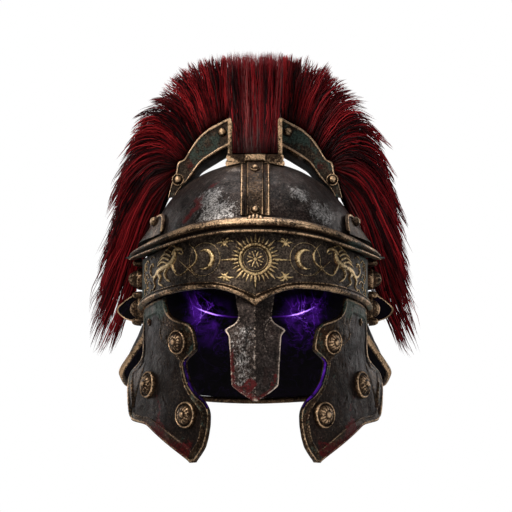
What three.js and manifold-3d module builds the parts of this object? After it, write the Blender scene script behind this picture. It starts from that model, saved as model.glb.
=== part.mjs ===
// Legionary helmet with a transverse and central plume, millimetres, +Z up, face towards -Y.
// The origin is the inside of the crown, where the helmet sits on a head.
import * as THREE from 'three';
import Module from 'manifold-3d';
import { mergeVertices } from 'three/addons/utils/BufferGeometryUtils.js';

const wasm = await Module();
wasm.setup();

// ---------------------------------------------------------------- driving dimensions
const HALF_WIDTH = 93;        // dome, outside, across the ears
const HALF_DEPTH = 115;       // dome, outside, brow to nape
const DOME_HEIGHT = 87;       // brow line to crown, outside
const BOWL_WALL = 2;
const CROWN_INSIDE = DOME_HEIGHT - BOWL_WALL;
const FLARE = 0.41;           // how far the neck guard turns out, as a share of the radius
const FLARE_TOP = -20;
const FLARE_DROP = 70;
const PLATE_OFFSET = 3.6;     // outer face of the brow plate over the bowl
const PLATE_WALL = 2.4;
const BROW_SPAN = 82;         // degrees each side of the nose
const RIM_SPAN = 90;
const RIM_GAP = 0.7;
const CHEEK_WALL = 1.6;
const BORDER_WIDTH = 5.0;
const BORDER_WALL = 1.7;
const SOCKET_HALF = 22.8;     // central crest socket, outside, across
const SOCKET_REACH = 55;      // and fore and aft of the crown
const SOCKET_POST = 39.4;
const SOCKET_FLOOR = 7.8;
const ARCH_FRONT = -8;        // transverse crest channel
const ARCH_DEPTH = 36;
const ARCH_WALL = 2;
const HINGE_DROP = -44;       // height of the cheek hinge pins
const HINGE_INSET = 6.8;
const HINGE_LENGTH = 34;
const PIN_RADIUS = 1.1;
const KNUCKLE_RADIUS = 2.5;
const KNUCKLE_BORE = 1.45;
const NASAL_WALL = 2.6;
const NASAL_FALL = 0.42;

// ---------------------------------------------------------------- tables
// lower edge of the bowl round the head, degrees from the nose
const BOWL_EDGE = [
  { at: 0, z: -32 }, { at: 84, z: -32 }, { at: 88, z: -45 }, { at: 91, z: -58 }, { at: 104, z: -60 },
  { at: 110, z: -80 }, { at: 118, z: -88 }, { at: 150, z: -92 }, { at: 180, z: -93 },
];
const BOWL_STATIONS = [0, 10, 20, 30, 40, 50, 60, 70, 78, 84, 88, 91, 98, 104, 110, 118, 128, 140, 153, 166, 180];
// brow plate and its two rims
const BROW_STATIONS = [0, 2, 4.6, 7, 9.2, 14, 19, 26, 35, 45, 55, 65, 74, 82];
const BROW_DIP = [{ at: 0, z: 0 }, { at: 15, z: -0.4 }, { at: 30, z: -2.2 }, { at: 48, z: -5.5 }, { at: 66, z: -5.5 }, { at: 90, z: 0 }];
const PLATE_EDGE = [
  { at: 0, z: -54.5 }, { at: 2, z: -52.5 }, { at: 4.6, z: -49.5 }, { at: 9.2, z: -45.4 }, { at: 14, z: -42.2 },
  { at: 19, z: -40.2 }, { at: 26, z: -39.6 }, { at: 45, z: -39.2 }, { at: 55, z: -37 }, { at: 90, z: -37 },
];
const LOWER_RIM = [
  { at: 0, top: -47, low: -57 }, { at: 2, top: -45.9, low: -54.4 }, { at: 4.6, top: -44.2, low: -51.2 },
  { at: 9.2, top: -40.8, low: -47 }, { at: 14, top: -37.9, low: -43.8 }, { at: 19, top: -36.2, low: -41.7 },
  { at: 26, top: -34.8, low: -40.8 }, { at: 37, top: -33.7, low: -40.5 }, { at: 60, top: -34, low: -41 }, { at: 82, top: -34.5, low: -42 },
];
const UPPER_RIM_SECTION = [
  { out: -0.6, z: 16.8 }, { out: 4, z: 16.4 }, { out: 9.5, z: 14 }, { out: 12.4, z: 11.4 }, { out: 11.6, z: 9 },
  { out: 14, z: 6.8 }, { out: 13.6, z: 3 }, { out: 11, z: 1.6 }, { out: 4.6, z: 4.4 }, { out: 1, z: 4.6 },
];
const NASAL = [
  { z: -43, half: 15.5, y: -114.6 }, { z: -50, half: 15.2, y: -115 }, { z: -54, half: 14.4, y: -115.6 }, { z: -60, half: 13.2, y: -117.4 },
  { z: -66.5, half: 12.8, y: -119.6 }, { z: -70, half: 15.2, y: -121 }, { z: -75, half: 24, y: -122.5 },
  { z: -80, half: 20.4, y: -123.5 }, { z: -92, half: 19.5, y: -124.6 }, { z: -106, half: 18.7, y: -125 },
  { z: -120, half: 17.9, y: -125.4 }, { z: -126, half: 11, y: -125.5 }, { z: -132.5, half: 1.4, y: -125.5 },
];
// transverse crest channel, left side, seen from the front: inner (dome) edge and outer edge
const ARCH = [
  { xi: -23.6, zi: 104.6, xo: -23.6, zo: 129.8 }, { xi: -29.8, zi: 101.0, xo: -32.3, zo: 124.9 },
  { xi: -35.8, zi: 97.2, xo: -41.4, zo: 119.6 }, { xi: -41.5, zi: 93.6, xo: -50.2, zo: 111 },
  { xi: -46.8, zi: 89.8, xo: -56.8, zo: 101 }, { xi: -50.8, zi: 84.8, xo: -61.7, zo: 92.7 },
  { xi: -53.6, zi: 80.2, xo: -66.8, zo: 89.6 }, { xi: -58.2, zi: 74.2, xo: -68.6, zo: 80.4 },
  { xi: -62.8, zi: 69.4, xo: -71.4, zo: 73 }, { xi: -66.4, zi: 64.8, xo: -73.4, zo: 65.8 },
  { xi: -69.2, zi: 59.6, xo: -75, zo: 58.2 },
];
// outer form of one side of the transverse plume: foot, lip and tip of each section, with its front and back
const PLUME = [
  { xf: -25.0, zf: 107.6, xl: -24.8, zl: 131, xt: -25.4, zt: 187.0, front: -14, back: 36 },
  { xf: -31.0, zf: 103.8, xl: -33.0, zl: 126, xt: -43, zt: 178.5, front: -15, back: 38 },
  { xf: -37.0, zf: 100.0, xl: -42.0, zl: 121, xt: -61, zt: 168.0, front: -16, back: 40 },
  { xf: -43.1, zf: 96.2, xl: -51.0, zl: 112, xt: -82, zt: 151.5, front: -16, back: 42 },
  { xf: -48.8, zf: 92.2, xl: -58.2, zl: 102.6, xt: -95, zt: 135, front: -16, back: 43 },
  { xf: -53.2, zf: 86.8, xl: -63.4, zl: 94.6, xt: -106.5, zt: 114, front: -15, back: 44 },
  { xf: -56.2, zf: 82.4, xl: -68.6, zl: 90.6, xt: -114, zt: 95, front: -13, back: 45 },
  { xf: -60.8, zf: 76.2, xl: -70.2, zl: 81.4, xt: -118.4, zt: 76, front: -9, back: 46 },
  { xf: -73.8, zf: 75.0, xl: -76.5, zl: 76.0, xt: -121, zt: 66, front: -4, back: 46 },
];
const PLUME_FALL = [
  { x: -79.5, z: 63, xt: -123.5, zt: 56, front: 4, back: 47 }, { x: -85.5, z: 48, xt: -129, zt: 44, front: 10, back: 50 },
  { x: -94.5, z: 26, xt: -134.5, zt: 26, front: 15, back: 54 }, { x: -98.5, z: 5, xt: -136, zt: 5, front: 18, back: 58 },
  { x: -101, z: -18, xt: -139.5, zt: -20, front: 18, back: 60 }, { x: -107.5, z: -42, xt: -140.6, zt: -44, front: 18, back: 60 },
  { x: -120, z: -58, xt: -140, zt: -62, front: 20, back: 58 }, { x: -129, z: -66, xt: -138.2, zt: -71, front: 26, back: 52 },
];
const PLUME_CENTRE = [
  { y: -57, top: 172 }, { y: -45, top: 178 }, { y: -28, top: 184.5 }, { y: -8, top: 188 }, { y: 14, top: 187.5 },
  { y: 34, top: 180 }, { y: 50, top: 168 }, { y: 57, top: 158 },
];
// cheek guard: front and back edge in degrees from the nose at each height
const CHEEK = [
  { z: -40.8, fore: 52.2, aft: 81 }, { z: -47.4, fore: 52, aft: 81 },
  { z: -53, fore: 50.6, aft: 80.6 }, { z: -58.5, fore: 47.4, aft: 80.2 }, { z: -62, fore: 42.5, aft: 80 },
  { z: -65.5, fore: 35.8, aft: 79.8 }, { z: -72, fore: 33.2, aft: 79.6 }, { z: -80, fore: 32.5, aft: 79.8 },
  { z: -85.7, fore: 32.3, aft: 83 }, { z: -88.3, fore: 32.4, aft: 92.5 }, { z: -90.6, fore: 36, aft: 93 },
  { z: -95, fore: 39.9, aft: 92.4 }, { z: -103, fore: 39.3, aft: 89 }, { z: -112, fore: 37.4, aft: 86.6 },
  { z: -120.5, fore: 33.4, aft: 85.4 }, { z: -128, fore: 28.2, aft: 84.3 }, { z: -134, fore: 25.7, aft: 82.6 },
  { z: -137.2, fore: 25, aft: 79.6 }, { z: -140, fore: 24.7, aft: 71.8 }, { z: -148, fore: 25, aft: 65 },
  { z: -157, fore: 26.3, aft: 56.6 }, { z: -165, fore: 28.3, aft: 48.8 }, { z: -171, fore: 31.8, aft: 42.8 },
  { z: -176, fore: 35.6, aft: 38 },
];
// bulge of the cheek guard, as a share of the dome's radius: a row for each height, a column for each angle
const BULGE_AT = [20, 38, 55, 70, 80, 88, 94];
const BULGE = [
  { z: -34, k: [1, 1, 1, 1, 1, 1, 1] },
  { z: -60, k: [0.97, 0.975, 0.985, 1, 1.01, 1.015, 1.02] },
  { z: -85, k: [0.94, 0.94, 0.96, 0.985, 1.02, 1.06, 1.1] },
  { z: -110, k: [0.93, 0.92, 0.94, 0.99, 1.07, 1.16, 1.24] },
  { z: -135, k: [0.92, 0.91, 0.94, 1, 1.09, 1.18, 1.26] },
  { z: -167, k: [0.91, 0.89, 0.93, 1, 1.09, 1.18, 1.26] },
];
const CHEEK_BOSSES = [
  { name: 'upper', at: 45.2, z: -79.3, radius: 10.4 },
  { name: 'middle', at: 70.6, z: -108, radius: 11.4 },
  { name: 'lower', at: 40, z: -138, radius: 10.8 },
];

// ---------------------------------------------------------------- finishes
const finish = (color, roughness, metalness) => () => new THREE.MeshStandardMaterial({ color, roughness, metalness });
const STEEL = finish(0x35302e, 0.45, 0.9);
const BRONZE = finish(0x8a6238, 0.42, 0.95);
const PATINA = finish(0x56604a, 0.6, 0.7);
const ENGRAVED = finish(0x2c2620, 0.5, 0.8);
const BRISTLE = finish(0x7a0d1c, 0.85, 0);

// ---------------------------------------------------------------- helpers
const rad = THREE.MathUtils.degToRad;
const V = (x, y, z) => new THREE.Vector3(x, y, z);
const tri = (list, a, b, c) => list.push(a, b, c);
const quad = (list, a, b, c, d) => { tri(list, a, b, c); tri(list, a, c, d); };

const read = (rows, at, column) => {
  if (at <= rows[0].at) return rows[0][column];
  for (let i = 1; i < rows.length; i++) {
    if (at <= rows[i].at) {
      const t = (at - rows[i - 1].at) / (rows[i].at - rows[i - 1].at);
      return rows[i - 1][column] * (1 - t) + rows[i][column] * t;
    }
  }
  return rows[rows.length - 1][column];
};

// smooth curve through a short row of values, straight past its ends
const smooth = (xs, ys, x) => {
  const n = xs.length;
  const slope = ys.map((_, i) => {
    const a = Math.max(i - 1, 0), b = Math.min(i + 1, n - 1);
    return (ys[b] - ys[a]) / (xs[b] - xs[a]);
  });
  const sign = xs[n - 1] > xs[0] ? 1 : -1;
  let i = 0;
  while (i < n - 2 && x * sign > xs[i + 1] * sign) i++;
  const h = xs[i + 1] - xs[i], t = (x - xs[i]) / h;
  if (t < 0) return ys[0] + slope[0] * (x - xs[0]);
  if (t > 1) return ys[n - 1] + slope[n - 1] * (x - xs[n - 1]);
  const t2 = t * t, t3 = t2 * t;
  return (2 * t3 - 3 * t2 + 1) * ys[i] + (t3 - 2 * t2 + t) * h * slope[i]
    + (3 * t2 - 2 * t3) * ys[i + 1] + (t3 - t2) * h * slope[i + 1];
};

// one closed body from points and faces, turned so that its faces point out
const body = (points, faces) => {
  let volume = 0;
  for (let i = 0; i < faces.length; i += 3) {
    const [a, b, c] = [points[faces[i]], points[faces[i + 1]], points[faces[i + 2]]];
    volume += a.dot(b.clone().cross(c)) / 6;
  }
  if (volume < 0) for (let i = 0; i < faces.length; i += 3) [faces[i + 1], faces[i + 2]] = [faces[i + 2], faces[i + 1]];
  const geometry = new THREE.BufferGeometry();
  geometry.setAttribute('position', new THREE.Float32BufferAttribute(points.flatMap((p) => [p.x, p.y, p.z]), 3));
  geometry.setIndex(faces);
  geometry.computeVertexNormals();
  return geometry;
};

// sections of the same shape joined in a row; the flat shape of the end closes both ends
const loft = (sections, flat) => {
  const m = sections[0].length, points = sections.flat(), faces = [];
  for (let s = 0; s + 1 < sections.length; s++) {
    for (let i = 0; i < m; i++) {
      const j = (i + 1) % m;
      quad(faces, s * m + i, s * m + j, (s + 1) * m + j, (s + 1) * m + i);
    }
  }
  const last = (sections.length - 1) * m;
  const outline = flat.map((p) => p.clone());
  const clockwise = THREE.ShapeUtils.isClockWise(outline);
  for (const [a, b, c] of THREE.ShapeUtils.triangulateShape(outline, [])) {
    if (clockwise) { tri(faces, a, b, c); tri(faces, last + a, last + c, last + b); }
    else { tri(faces, a, c, b); tri(faces, last + a, last + b, last + c); }
  }
  return body(points, faces);
};

// sections joined in a ring
const hoop = (sections) => {
  const m = sections[0].length, n = sections.length, points = sections.flat(), faces = [];
  for (let s = 0; s < n; s++) {
    for (let i = 0; i < m; i++) {
      const j = (i + 1) % m, t = (s + 1) % n;
      quad(faces, s * m + i, s * m + j, t * m + j, t * m + i);
    }
  }
  return body(points, faces);
};

// wall of even thickness behind a grid of outer points
const wall = (grid, inner) => {
  const rows = grid.length, cols = grid[0].length, points = [...grid.flat(), ...inner.flat()], faces = [];
  const at = (r, c) => r * cols + c, half = rows * cols;
  for (let r = 0; r + 1 < rows; r++) {
    for (let c = 0; c + 1 < cols; c++) {
      quad(faces, at(r, c), at(r, c + 1), at(r + 1, c + 1), at(r + 1, c));
      quad(faces, half + at(r, c), half + at(r + 1, c), half + at(r + 1, c + 1), half + at(r, c + 1));
    }
  }
  for (let r = 0; r + 1 < rows; r++) {
    quad(faces, at(r, 0), at(r + 1, 0), half + at(r + 1, 0), half + at(r, 0));
    quad(faces, at(r, cols - 1), half + at(r, cols - 1), half + at(r + 1, cols - 1), at(r + 1, cols - 1));
  }
  for (let c = 0; c + 1 < cols; c++) {
    quad(faces, at(0, c), half + at(0, c), half + at(0, c + 1), at(0, c + 1));
    quad(faces, at(rows - 1, c), at(rows - 1, c + 1), half + at(rows - 1, c + 1), half + at(rows - 1, c));
  }
  return body(points, faces);
};

// dome radius share at a height, with the neck guard's flare behind the ears
const share = (at, z) => {
  if (z >= 0) return Math.sqrt(Math.max(0, 1 - (z / DOME_HEIGHT) ** 2));
  const t = THREE.MathUtils.clamp((FLARE_TOP - z) / FLARE_DROP, 0, 1.2);
  return 1 + FLARE * THREE.MathUtils.smoothstep(Math.abs(at), 96, 112) * t ** 1.05;
};
const shell = (at, out, z) => {
  const k = share(at, z), a = rad(at);
  return V((HALF_WIDTH * k + out) * Math.sin(a), -(HALF_DEPTH * k + out) * Math.cos(a), z);
};
const bothSides = (stations) => [...stations.slice(1).reverse().map((s) => -s), ...stations];

const model = new THREE.Group();
model.position.z = -CROWN_INSIDE;
const add = (name, geometry, material) => {
  const mesh = new THREE.Mesh(geometry, material());
  mesh.name = name;
  model.add(mesh);
  return mesh;
};
const SIDES = [{ name: 'left', sign: 1 }, { name: 'right', sign: -1 }];   // tables are drawn for the side at -X
const flip = (p, sign) => V(p.x * sign, p.y, p.z);

// ---------------------------------------------------------------- bowl with nape and neck guard
{
  const climbs = [78, 65, 52, 39, 26, 13];
  const round = [...BOWL_STATIONS, ...BOWL_STATIONS.slice(1, -1).reverse().map((s) => 360 - s)];
  const levels = [0, 0.34, 0.67, 1];
  const skin = (inset) => {
    const rings = climbs.map((e) => round.map((at) => V(
      (HALF_WIDTH - inset) * Math.cos(rad(e)) * Math.sin(rad(at)),
      -(HALF_DEPTH - inset) * Math.cos(rad(e)) * Math.cos(rad(at)),
      (DOME_HEIGHT - inset) * Math.sin(rad(e)))));
    for (const level of levels) rings.push(round.map((at) => {
      const from = at > 180 ? 360 - at : at;
      return shell(at > 180 ? at - 360 : at, -inset, read(BOWL_EDGE, from, 'z') * level);
    }));
    return rings;
  };
  const outer = skin(0), inner = skin(BOWL_WALL).reverse();
  const rings = [...outer, ...inner], n = round.length, faces = [];
  const points = [...rings.flat(), V(0, 0, DOME_HEIGHT), V(0, 0, CROWN_INSIDE)];
  for (let r = 0; r + 1 < rings.length; r++) {
    for (let i = 0; i < n; i++) {
      const j = (i + 1) % n;
      quad(faces, r * n + i, r * n + j, (r + 1) * n + j, (r + 1) * n + i);
    }
  }
  const last = (rings.length - 1) * n, top = rings.length * n;
  for (let i = 0; i < n; i++) {
    const j = (i + 1) % n;
    tri(faces, top, j, i);
    tri(faces, top + 1, last + i, last + j);
  }
  add('bowl', body(points, faces), STEEL);
}

// rolled edge of the neck guard
{
  const round = [110, 118, 128, 140, 153, 166, 180];
  const stations = [...round, ...round.slice(0, -1).reverse().map((s) => 360 - s)];
  const section = Array.from({ length: 7 }, (_, i) => new THREE.Vector2(Math.cos(i * Math.PI * 2 / 7), Math.sin(i * Math.PI * 2 / 7)).multiplyScalar(2.5));
  const rings = stations.map((s) => {
    const at = s > 180 ? s - 360 : s;
    const edge = read(BOWL_EDGE, Math.abs(at), 'z');
    const middle = shell(at, 0.6, edge - 3.2), out = V(Math.sin(rad(at)), -Math.cos(rad(at)), 0);
    return section.map((p) => middle.clone().addScaledVector(out, p.x).add(V(0, 0, p.y)));
  });
  add('neck_rim', loft(rings, section), BRONZE);
}

// ---------------------------------------------------------------- brow plate and rims
{
  const stations = bothSides(BROW_STATIONS), rows = 4;
  const face = (out) => Array.from({ length: rows + 1 }, (_, r) => stations.map((at) => {
    const top = 3.5 + read(BROW_DIP, Math.abs(at), 'z'), low = read(PLATE_EDGE, Math.abs(at), 'z');
    return shell(at, out, top + (low - top) * r / rows);
  }));
  add('brow_plate', wall(face(PLATE_OFFSET), face(PLATE_OFFSET - PLATE_WALL)), ENGRAVED);

  const round = (at, out, z) => V((HALF_WIDTH + out) * Math.sin(rad(at)), -(HALF_DEPTH + out) * Math.cos(rad(at)), z);
  const rimStations = bothSides([0, 8, 16, 24, 32, 40, 48, 57, 66, 75, 83, RIM_SPAN]);
  add('brow_rim_upper', loft(
    rimStations.map((at) => UPPER_RIM_SECTION.map((p) => round(at, p.out, p.z + read(BROW_DIP, Math.abs(at), 'z')))),
    UPPER_RIM_SECTION.map((p) => new THREE.Vector2(p.out, p.z))), BRONZE);

  const lower = (at) => {
    const top = read(LOWER_RIM, Math.abs(at), 'top'), low = read(LOWER_RIM, Math.abs(at), 'low'), o = PLATE_OFFSET + RIM_GAP;
    return [[o, top], [o + 2, top - 0.8], [o + 3, (top + low) / 2], [o + 2, low + 0.8], [o, low]].map(([out, z]) => round(at, out, z));
  };
  add('brow_rim_lower', loft(stations.map(lower),
    [[0, 4], [2, 3], [3, 0], [2, -3], [0, -4]].map(([x, y]) => new THREE.Vector2(x, y))), BRONZE);
}

// ---------------------------------------------------------------- nasal guard
{
  const across = [-1, -0.5, 0, 0.5, 1];
  const face = (back) => NASAL.map((row) => across.map((u) => {
    const x = u * row.half;
    return V(x * (1 - back * 0.02), row.y + NASAL_FALL * Math.abs(x) + back, row.z);
  }));
  add('nasal', wall(face(0), face(NASAL_WALL)), STEEL);
}

// ---------------------------------------------------------------- strip up the front of the dome
const meridian = (elevation, out) => {
  const a = rad(elevation);
  const p = V(0, -HALF_DEPTH * Math.cos(a), DOME_HEIGHT * Math.sin(a));
  const n = V(0, -Math.cos(a) / HALF_DEPTH, Math.sin(a) / DOME_HEIGHT).normalize();
  return { p: p.clone().addScaledVector(n, out), n };
};
{
  const section = [[-12, 0.7], [-12, 2.2], [-6.8, 2.2], [-6.8, 3.8], [6.8, 3.8], [6.8, 2.2], [12, 2.2], [12, 0.7]];
  const climbs = Array.from({ length: 10 }, (_, i) => 11.6 + i * 4.6);
  add('dome_strip', loft(climbs.map((e) => section.map(([x, out]) => meridian(e, out).p.add(V(x, 0, 0)))),
    section.map(([x, y]) => new THREE.Vector2(x, y))), BRONZE);
}

// round-headed rivet or boss standing on a face
const stud = (name, radius, height, point, normal, material, segments = 10, lift = 0.5) => {
  const r = radius;
  const profile = [[0, 0], [r, 0], [r, height * 0.22], [r * 0.78, height * 0.3], [r * 0.62, height * 0.74], [r * 0.32, height * 0.95], [0, height]];
  const used = segments <= 8 ? [[0, 0], [r, 0], [r * 0.9, height * 0.45], [r * 0.5, height * 0.88], [0, height]] : profile;
  const mesh = add(name, new THREE.LatheGeometry(used.map(([x, y]) => new THREE.Vector2(x, y)), segments), material);
  mesh.quaternion.setFromUnitVectors(V(0, 1, 0), normal.clone().normalize());
  mesh.position.copy(point.clone().addScaledVector(normal.clone().normalize(), lift));
  return mesh;
};
for (const [name, climb] of [['strip_rivet_top', 43.3], ['strip_rivet_bottom', 12.8]]) {
  const { p, n } = meridian(climb, 3.8);
  stud(name, 3.6, 2.6, p, n, BRONZE, 8, 0.6);
}

// ---------------------------------------------------------------- central crest socket
const crownLine = (y) => DOME_HEIGHT * Math.sqrt(1 - (y / HALF_DEPTH) ** 2);
const SOCKET_WALL = 3.5;
{
  const i = SOCKET_HALF - SOCKET_WALL, o = SOCKET_HALF;
  const section = [[-o - 1.7, -2.2], [-o - 0.5, 2.2], [-o, SOCKET_FLOOR], [-o, SOCKET_POST], [-i, SOCKET_POST], [-i, SOCKET_FLOOR], [i, SOCKET_FLOOR],
    [i, SOCKET_POST], [o, SOCKET_POST], [o, SOCKET_FLOOR], [o + 0.5, 2.2], [o + 1.7, -2.2], [12, 0.4], [0, 1], [-12, 0.4]];
  const stations = Array.from({ length: 9 }, (_, s) => -SOCKET_REACH + s * SOCKET_REACH / 4);
  add('crest_socket', loft(stations.map((y) => section.map(([x, z]) => V(x, y, crownLine(y) + z))),
    section.map(([x, z]) => new THREE.Vector2(x, z))), BRONZE);
  const clip = add('socket_clip', new THREE.BoxGeometry(17.6, 2.6, 6), BRONZE);
  clip.position.set(0, -SOCKET_REACH - 1.8, crownLine(SOCKET_REACH) + 4.6);
}

// ---------------------------------------------------------------- transverse crest channels
for (const { name, sign } of SIDES) {
  const back = ARCH_FRONT + ARCH_DEPTH, w = ARCH_WALL;
  const flat = [[0, 0], [0, 1], [w, 1], [w, 0.15], [ARCH_DEPTH - w, 0.15], [ARCH_DEPTH - w, 1], [ARCH_DEPTH, 1], [ARCH_DEPTH, 0]];
  const rings = ARCH.map((row) => {
    const inner = V(row.xi, 0, row.zi), outer = V(row.xo, 0, row.zo), span = outer.clone().sub(inner);
    const floor = w / span.length();
    return flat.map(([depth, up]) => {
      const t = up === 0.15 ? floor : up;
      const p = inner.clone().addScaledVector(span, t);
      return flip(V(p.x, ARCH_FRONT + depth, p.z), sign);
    });
  });
  add(`crest_arch_${name}`, loft(rings, flat.map(([x, y]) => new THREE.Vector2(x, y * 20))), PATINA);
  const front = V(0, -1, 0);
  stud(`arch_rivet_small_${name}`, 3.2, 2.2, V(-28.6 * sign, ARCH_FRONT, 117), front, BRONZE, 8);
  stud(`arch_rivet_large_${name}`, 5.2, 3.6, V(-66.6 * sign, ARCH_FRONT, 74), front, BRONZE, 10);
}

// ---------------------------------------------------------------- plume: outer form of each brush
for (const { name, sign } of SIDES) {
  const front = ARCH_FRONT + ARCH_WALL + 0.6, back = ARCH_FRONT + ARCH_DEPTH - ARCH_WALL - 0.6;
  const rings = PLUME.map((r) => {
    const lerp = (t) => [r.xl + (r.xt - r.xl) * t, r.zl + (r.zt - r.zl) * t];
    const rim = [
      [r.xf, front, r.zf], [r.xl, front, r.zl], [lerp(0.45)[0], (front + r.front) / 2, lerp(0.45)[1]], [lerp(0.93)[0], r.front, lerp(0.93)[1]],
      [r.xt, (r.front + 3), r.zt], [r.xt, r.back - 8, r.zt], [lerp(0.9)[0], r.back, lerp(0.9)[1]], [lerp(0.4)[0], (back + r.back) / 2, lerp(0.4)[1]],
      [r.xl, back, r.zl], [r.xf, back, r.zf],
    ];
    return rim.map(([x, y, z]) => flip(V(x, y, z), sign));
  });
  for (const r of PLUME_FALL) {
    const lerp = (t) => [r.x + (r.xt - r.x) * t, r.z + (r.zt - r.z) * t];
    const d = r.back - r.front;
    const rim = [[0, 0.08], [0.25, 0.02], [0.55, 0], [0.93, 0.06], [1, 0.2], [1, 0.8], [0.9, 0.96], [0.5, 1], [0.2, 0.97], [0, 0.88]]
      .map(([t, y]) => [lerp(t)[0], r.front + d * y, lerp(t)[1]]);
    rings.push(rim.map(([x, y, z]) => flip(V(x, y, z), sign)));
  }
  const flat = [[0, 0], [1, -0.1], [2, -0.3], [4, -0.6], [5, 0], [5, 6], [4, 6.6], [2, 6.3], [1, 6.1], [0, 6]].map(([x, y]) => new THREE.Vector2(x, y));
  add(`plume_${name}`, loft(rings, flat), BRISTLE);
}
{
  const i = SOCKET_HALF - SOCKET_WALL - 0.6;
  const rings = PLUME_CENTRE.map(({ y, top }) => {
    const yc = THREE.MathUtils.clamp(y, -SOCKET_REACH, SOCKET_REACH);
    const foot = crownLine(yc) + SOCKET_FLOOR + 1, lip = crownLine(yc) + SOCKET_POST + 0.8;
    return [[-i, foot], [-i, lip], [-i - 2, lip + 10], [-22.8, top - 7], [-15, top], [15, top], [22.8, top - 7], [i + 2, lip + 10], [i, lip], [i, foot]]
      .map(([x, z]) => V(x, y, z));
  });
  add('plume_centre', loft(rings, [[-18, 0], [-18, 3], [-20, 4], [-22, 9], [-15, 10], [15, 10], [22, 9], [20, 4], [18, 3], [18, 0]]
    .map(([x, y]) => new THREE.Vector2(x, y))), BRISTLE);
}

// ---------------------------------------------------------------- side plates, ear guards and bosses
const domeNormal = (p) => V(p.x / HALF_WIDTH ** 2, p.y / HALF_DEPTH ** 2, Math.max(p.z, 0) / DOME_HEIGHT ** 2).normalize();
for (const { name, sign } of SIDES) {
  // tongue plate on the side of the dome, over the brow rim
  const columns = [{ at: 61, low: 17, high: 28 }, { at: 62.5, low: 16.6, high: 33 }, { at: 66, low: 16.5, high: 37.5 }, { at: 76, low: 16.5, high: 41.5 },
    { at: 85, low: 16.5, high: 42.5 }, { at: 94, low: 16.5, high: 41.5 }, { at: 100, low: 17, high: 38 }];
  const face = (out) => Array.from({ length: 4 }, (_, r) => columns.map((c) => {
    const z = c.low + (c.high - c.low) * r / 3, p = shell(-c.at, 0, z);
    return flip(p.addScaledVector(domeNormal(p), out), sign);
  }));
  add(`side_tongue_${name}`, wall(face(3), face(1.2)), BRONZE);
  const rivet = shell(-69, 0, 31), normal = domeNormal(rivet);
  stud(`tongue_rivet_${name}`, 3.4, 2.6, flip(rivet.addScaledVector(normal, 3), sign), flip(normal, sign), BRONZE, 8);

  // bosses beside the ear
  const side = V(-sign, 0, 0);
  stud(`ear_bead_${name}`, 3.1, 4.4, V(-94 * sign, 5.5, 5.6), side, BRONZE, 8);
  stud(`ear_boss_upper_${name}`, 11.8, 12.4, V(-94 * sign, -1, -9.6), side, BRONZE, 14);
  const lower = stud(`ear_boss_lower_${name}`, 6.2, 10.5, V(-94 * sign, -1, -41), side, BRONZE, 12);
  lower.geometry.scale(1, 1, 2.05);
  lower.quaternion.identity();
  lower.geometry.rotateZ(Math.PI / 2 * sign);
  // flange that covers the ear
  const flange = new THREE.Shape([[-96, -21], [-101.5, -21], [-107.9, -24.6], [-114, -29.2], [-119.2, -34.6], [-118.2, -38.6], [-113, -43], [-106.8, -45.4], [-100, -47.5], [-96, -48]]
    .map(([x, z]) => new THREE.Vector2(x * sign, z)));
  const ear = add(`ear_guard_${name}`, new THREE.ExtrudeGeometry(flange, { depth: 1.8, bevelEnabled: false }), BRONZE);
  ear.rotation.x = Math.PI / 2;
  ear.position.y = 15.8;
}

// ---------------------------------------------------------------- cheek guards and their hinges
const bulge = (at, z) => smooth(BULGE.map((r) => r.z), BULGE.map((r) => smooth(BULGE_AT, r.k, at)), z);
const cheekPoint = (at, z) => {
  const k = bulge(at, z), a = rad(at);
  return V(-k * HALF_WIDTH * Math.sin(a), -k * HALF_DEPTH * Math.cos(a), z);
};
const cheekNormal = (at, z) => {
  const u = cheekPoint(at + 0.2, z).sub(cheekPoint(at - 0.2, z)), v = cheekPoint(at, z + 0.2).sub(cheekPoint(at, z - 0.2));
  const n = u.cross(v).normalize(), p = cheekPoint(at, z);
  return n.x * p.x + n.y * p.y < 0 ? n.negate() : n;
};
const off = (at, z, out) => cheekPoint(at, z).addScaledVector(cheekNormal(at, z), out);

// hinge line: a chord of the brow between these angles
const hingeFore = V(-HALF_WIDTH * Math.sin(rad(62)), -HALF_DEPTH * Math.cos(rad(62)), HINGE_DROP);
const hingeAft = V(-HALF_WIDTH * Math.sin(rad(82)), -HALF_DEPTH * Math.cos(rad(82)), HINGE_DROP);
const hingeAxis = hingeAft.clone().sub(hingeFore).normalize();
const hingeOut = V(-hingeAxis.y, hingeAxis.x, 0);
const hingeMiddle = hingeFore.clone().add(hingeAft).multiplyScalar(0.5).addScaledVector(hingeOut, -HINGE_INSET);

const parts = 8;
const cheekGrid = (out) => CHEEK.map((r) => Array.from({ length: parts + 1 }, (_, c) => off(r.fore + (r.aft - r.fore) * c / parts, r.z, out)));

// raised border: the outline drawn again inside itself, on a flat map of the guard
const borderStations = () => {
  const scale = 1.75;   // millimetres for each degree, near enough
  const outline = [
    ...CHEEK.map((r) => new THREE.Vector2(r.fore * scale, r.z)),
    ...CHEEK.filter((r) => r.z > -176).reverse().map((r) => new THREE.Vector2(r.aft * scale, r.z)),
    ...[76, 71, 66, 61, 56].map((at) => new THREE.Vector2(at * scale, CHEEK[0].z)),
  ];
  return outline.map((p, i) => {
    const a = outline[(i + outline.length - 1) % outline.length], b = outline[(i + 1) % outline.length];
    const u = p.clone().sub(a).normalize(), w = b.clone().sub(p).normalize();
    const nu = new THREE.Vector2(-u.y, u.x), nw = new THREE.Vector2(-w.y, w.x);
    const middle = nu.clone().add(nw).normalize();
    const reach = Math.min(1 / Math.max(middle.dot(nu), 0.35), 1.9);
    return { p, middle, reach, scale };
  });
};

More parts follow.
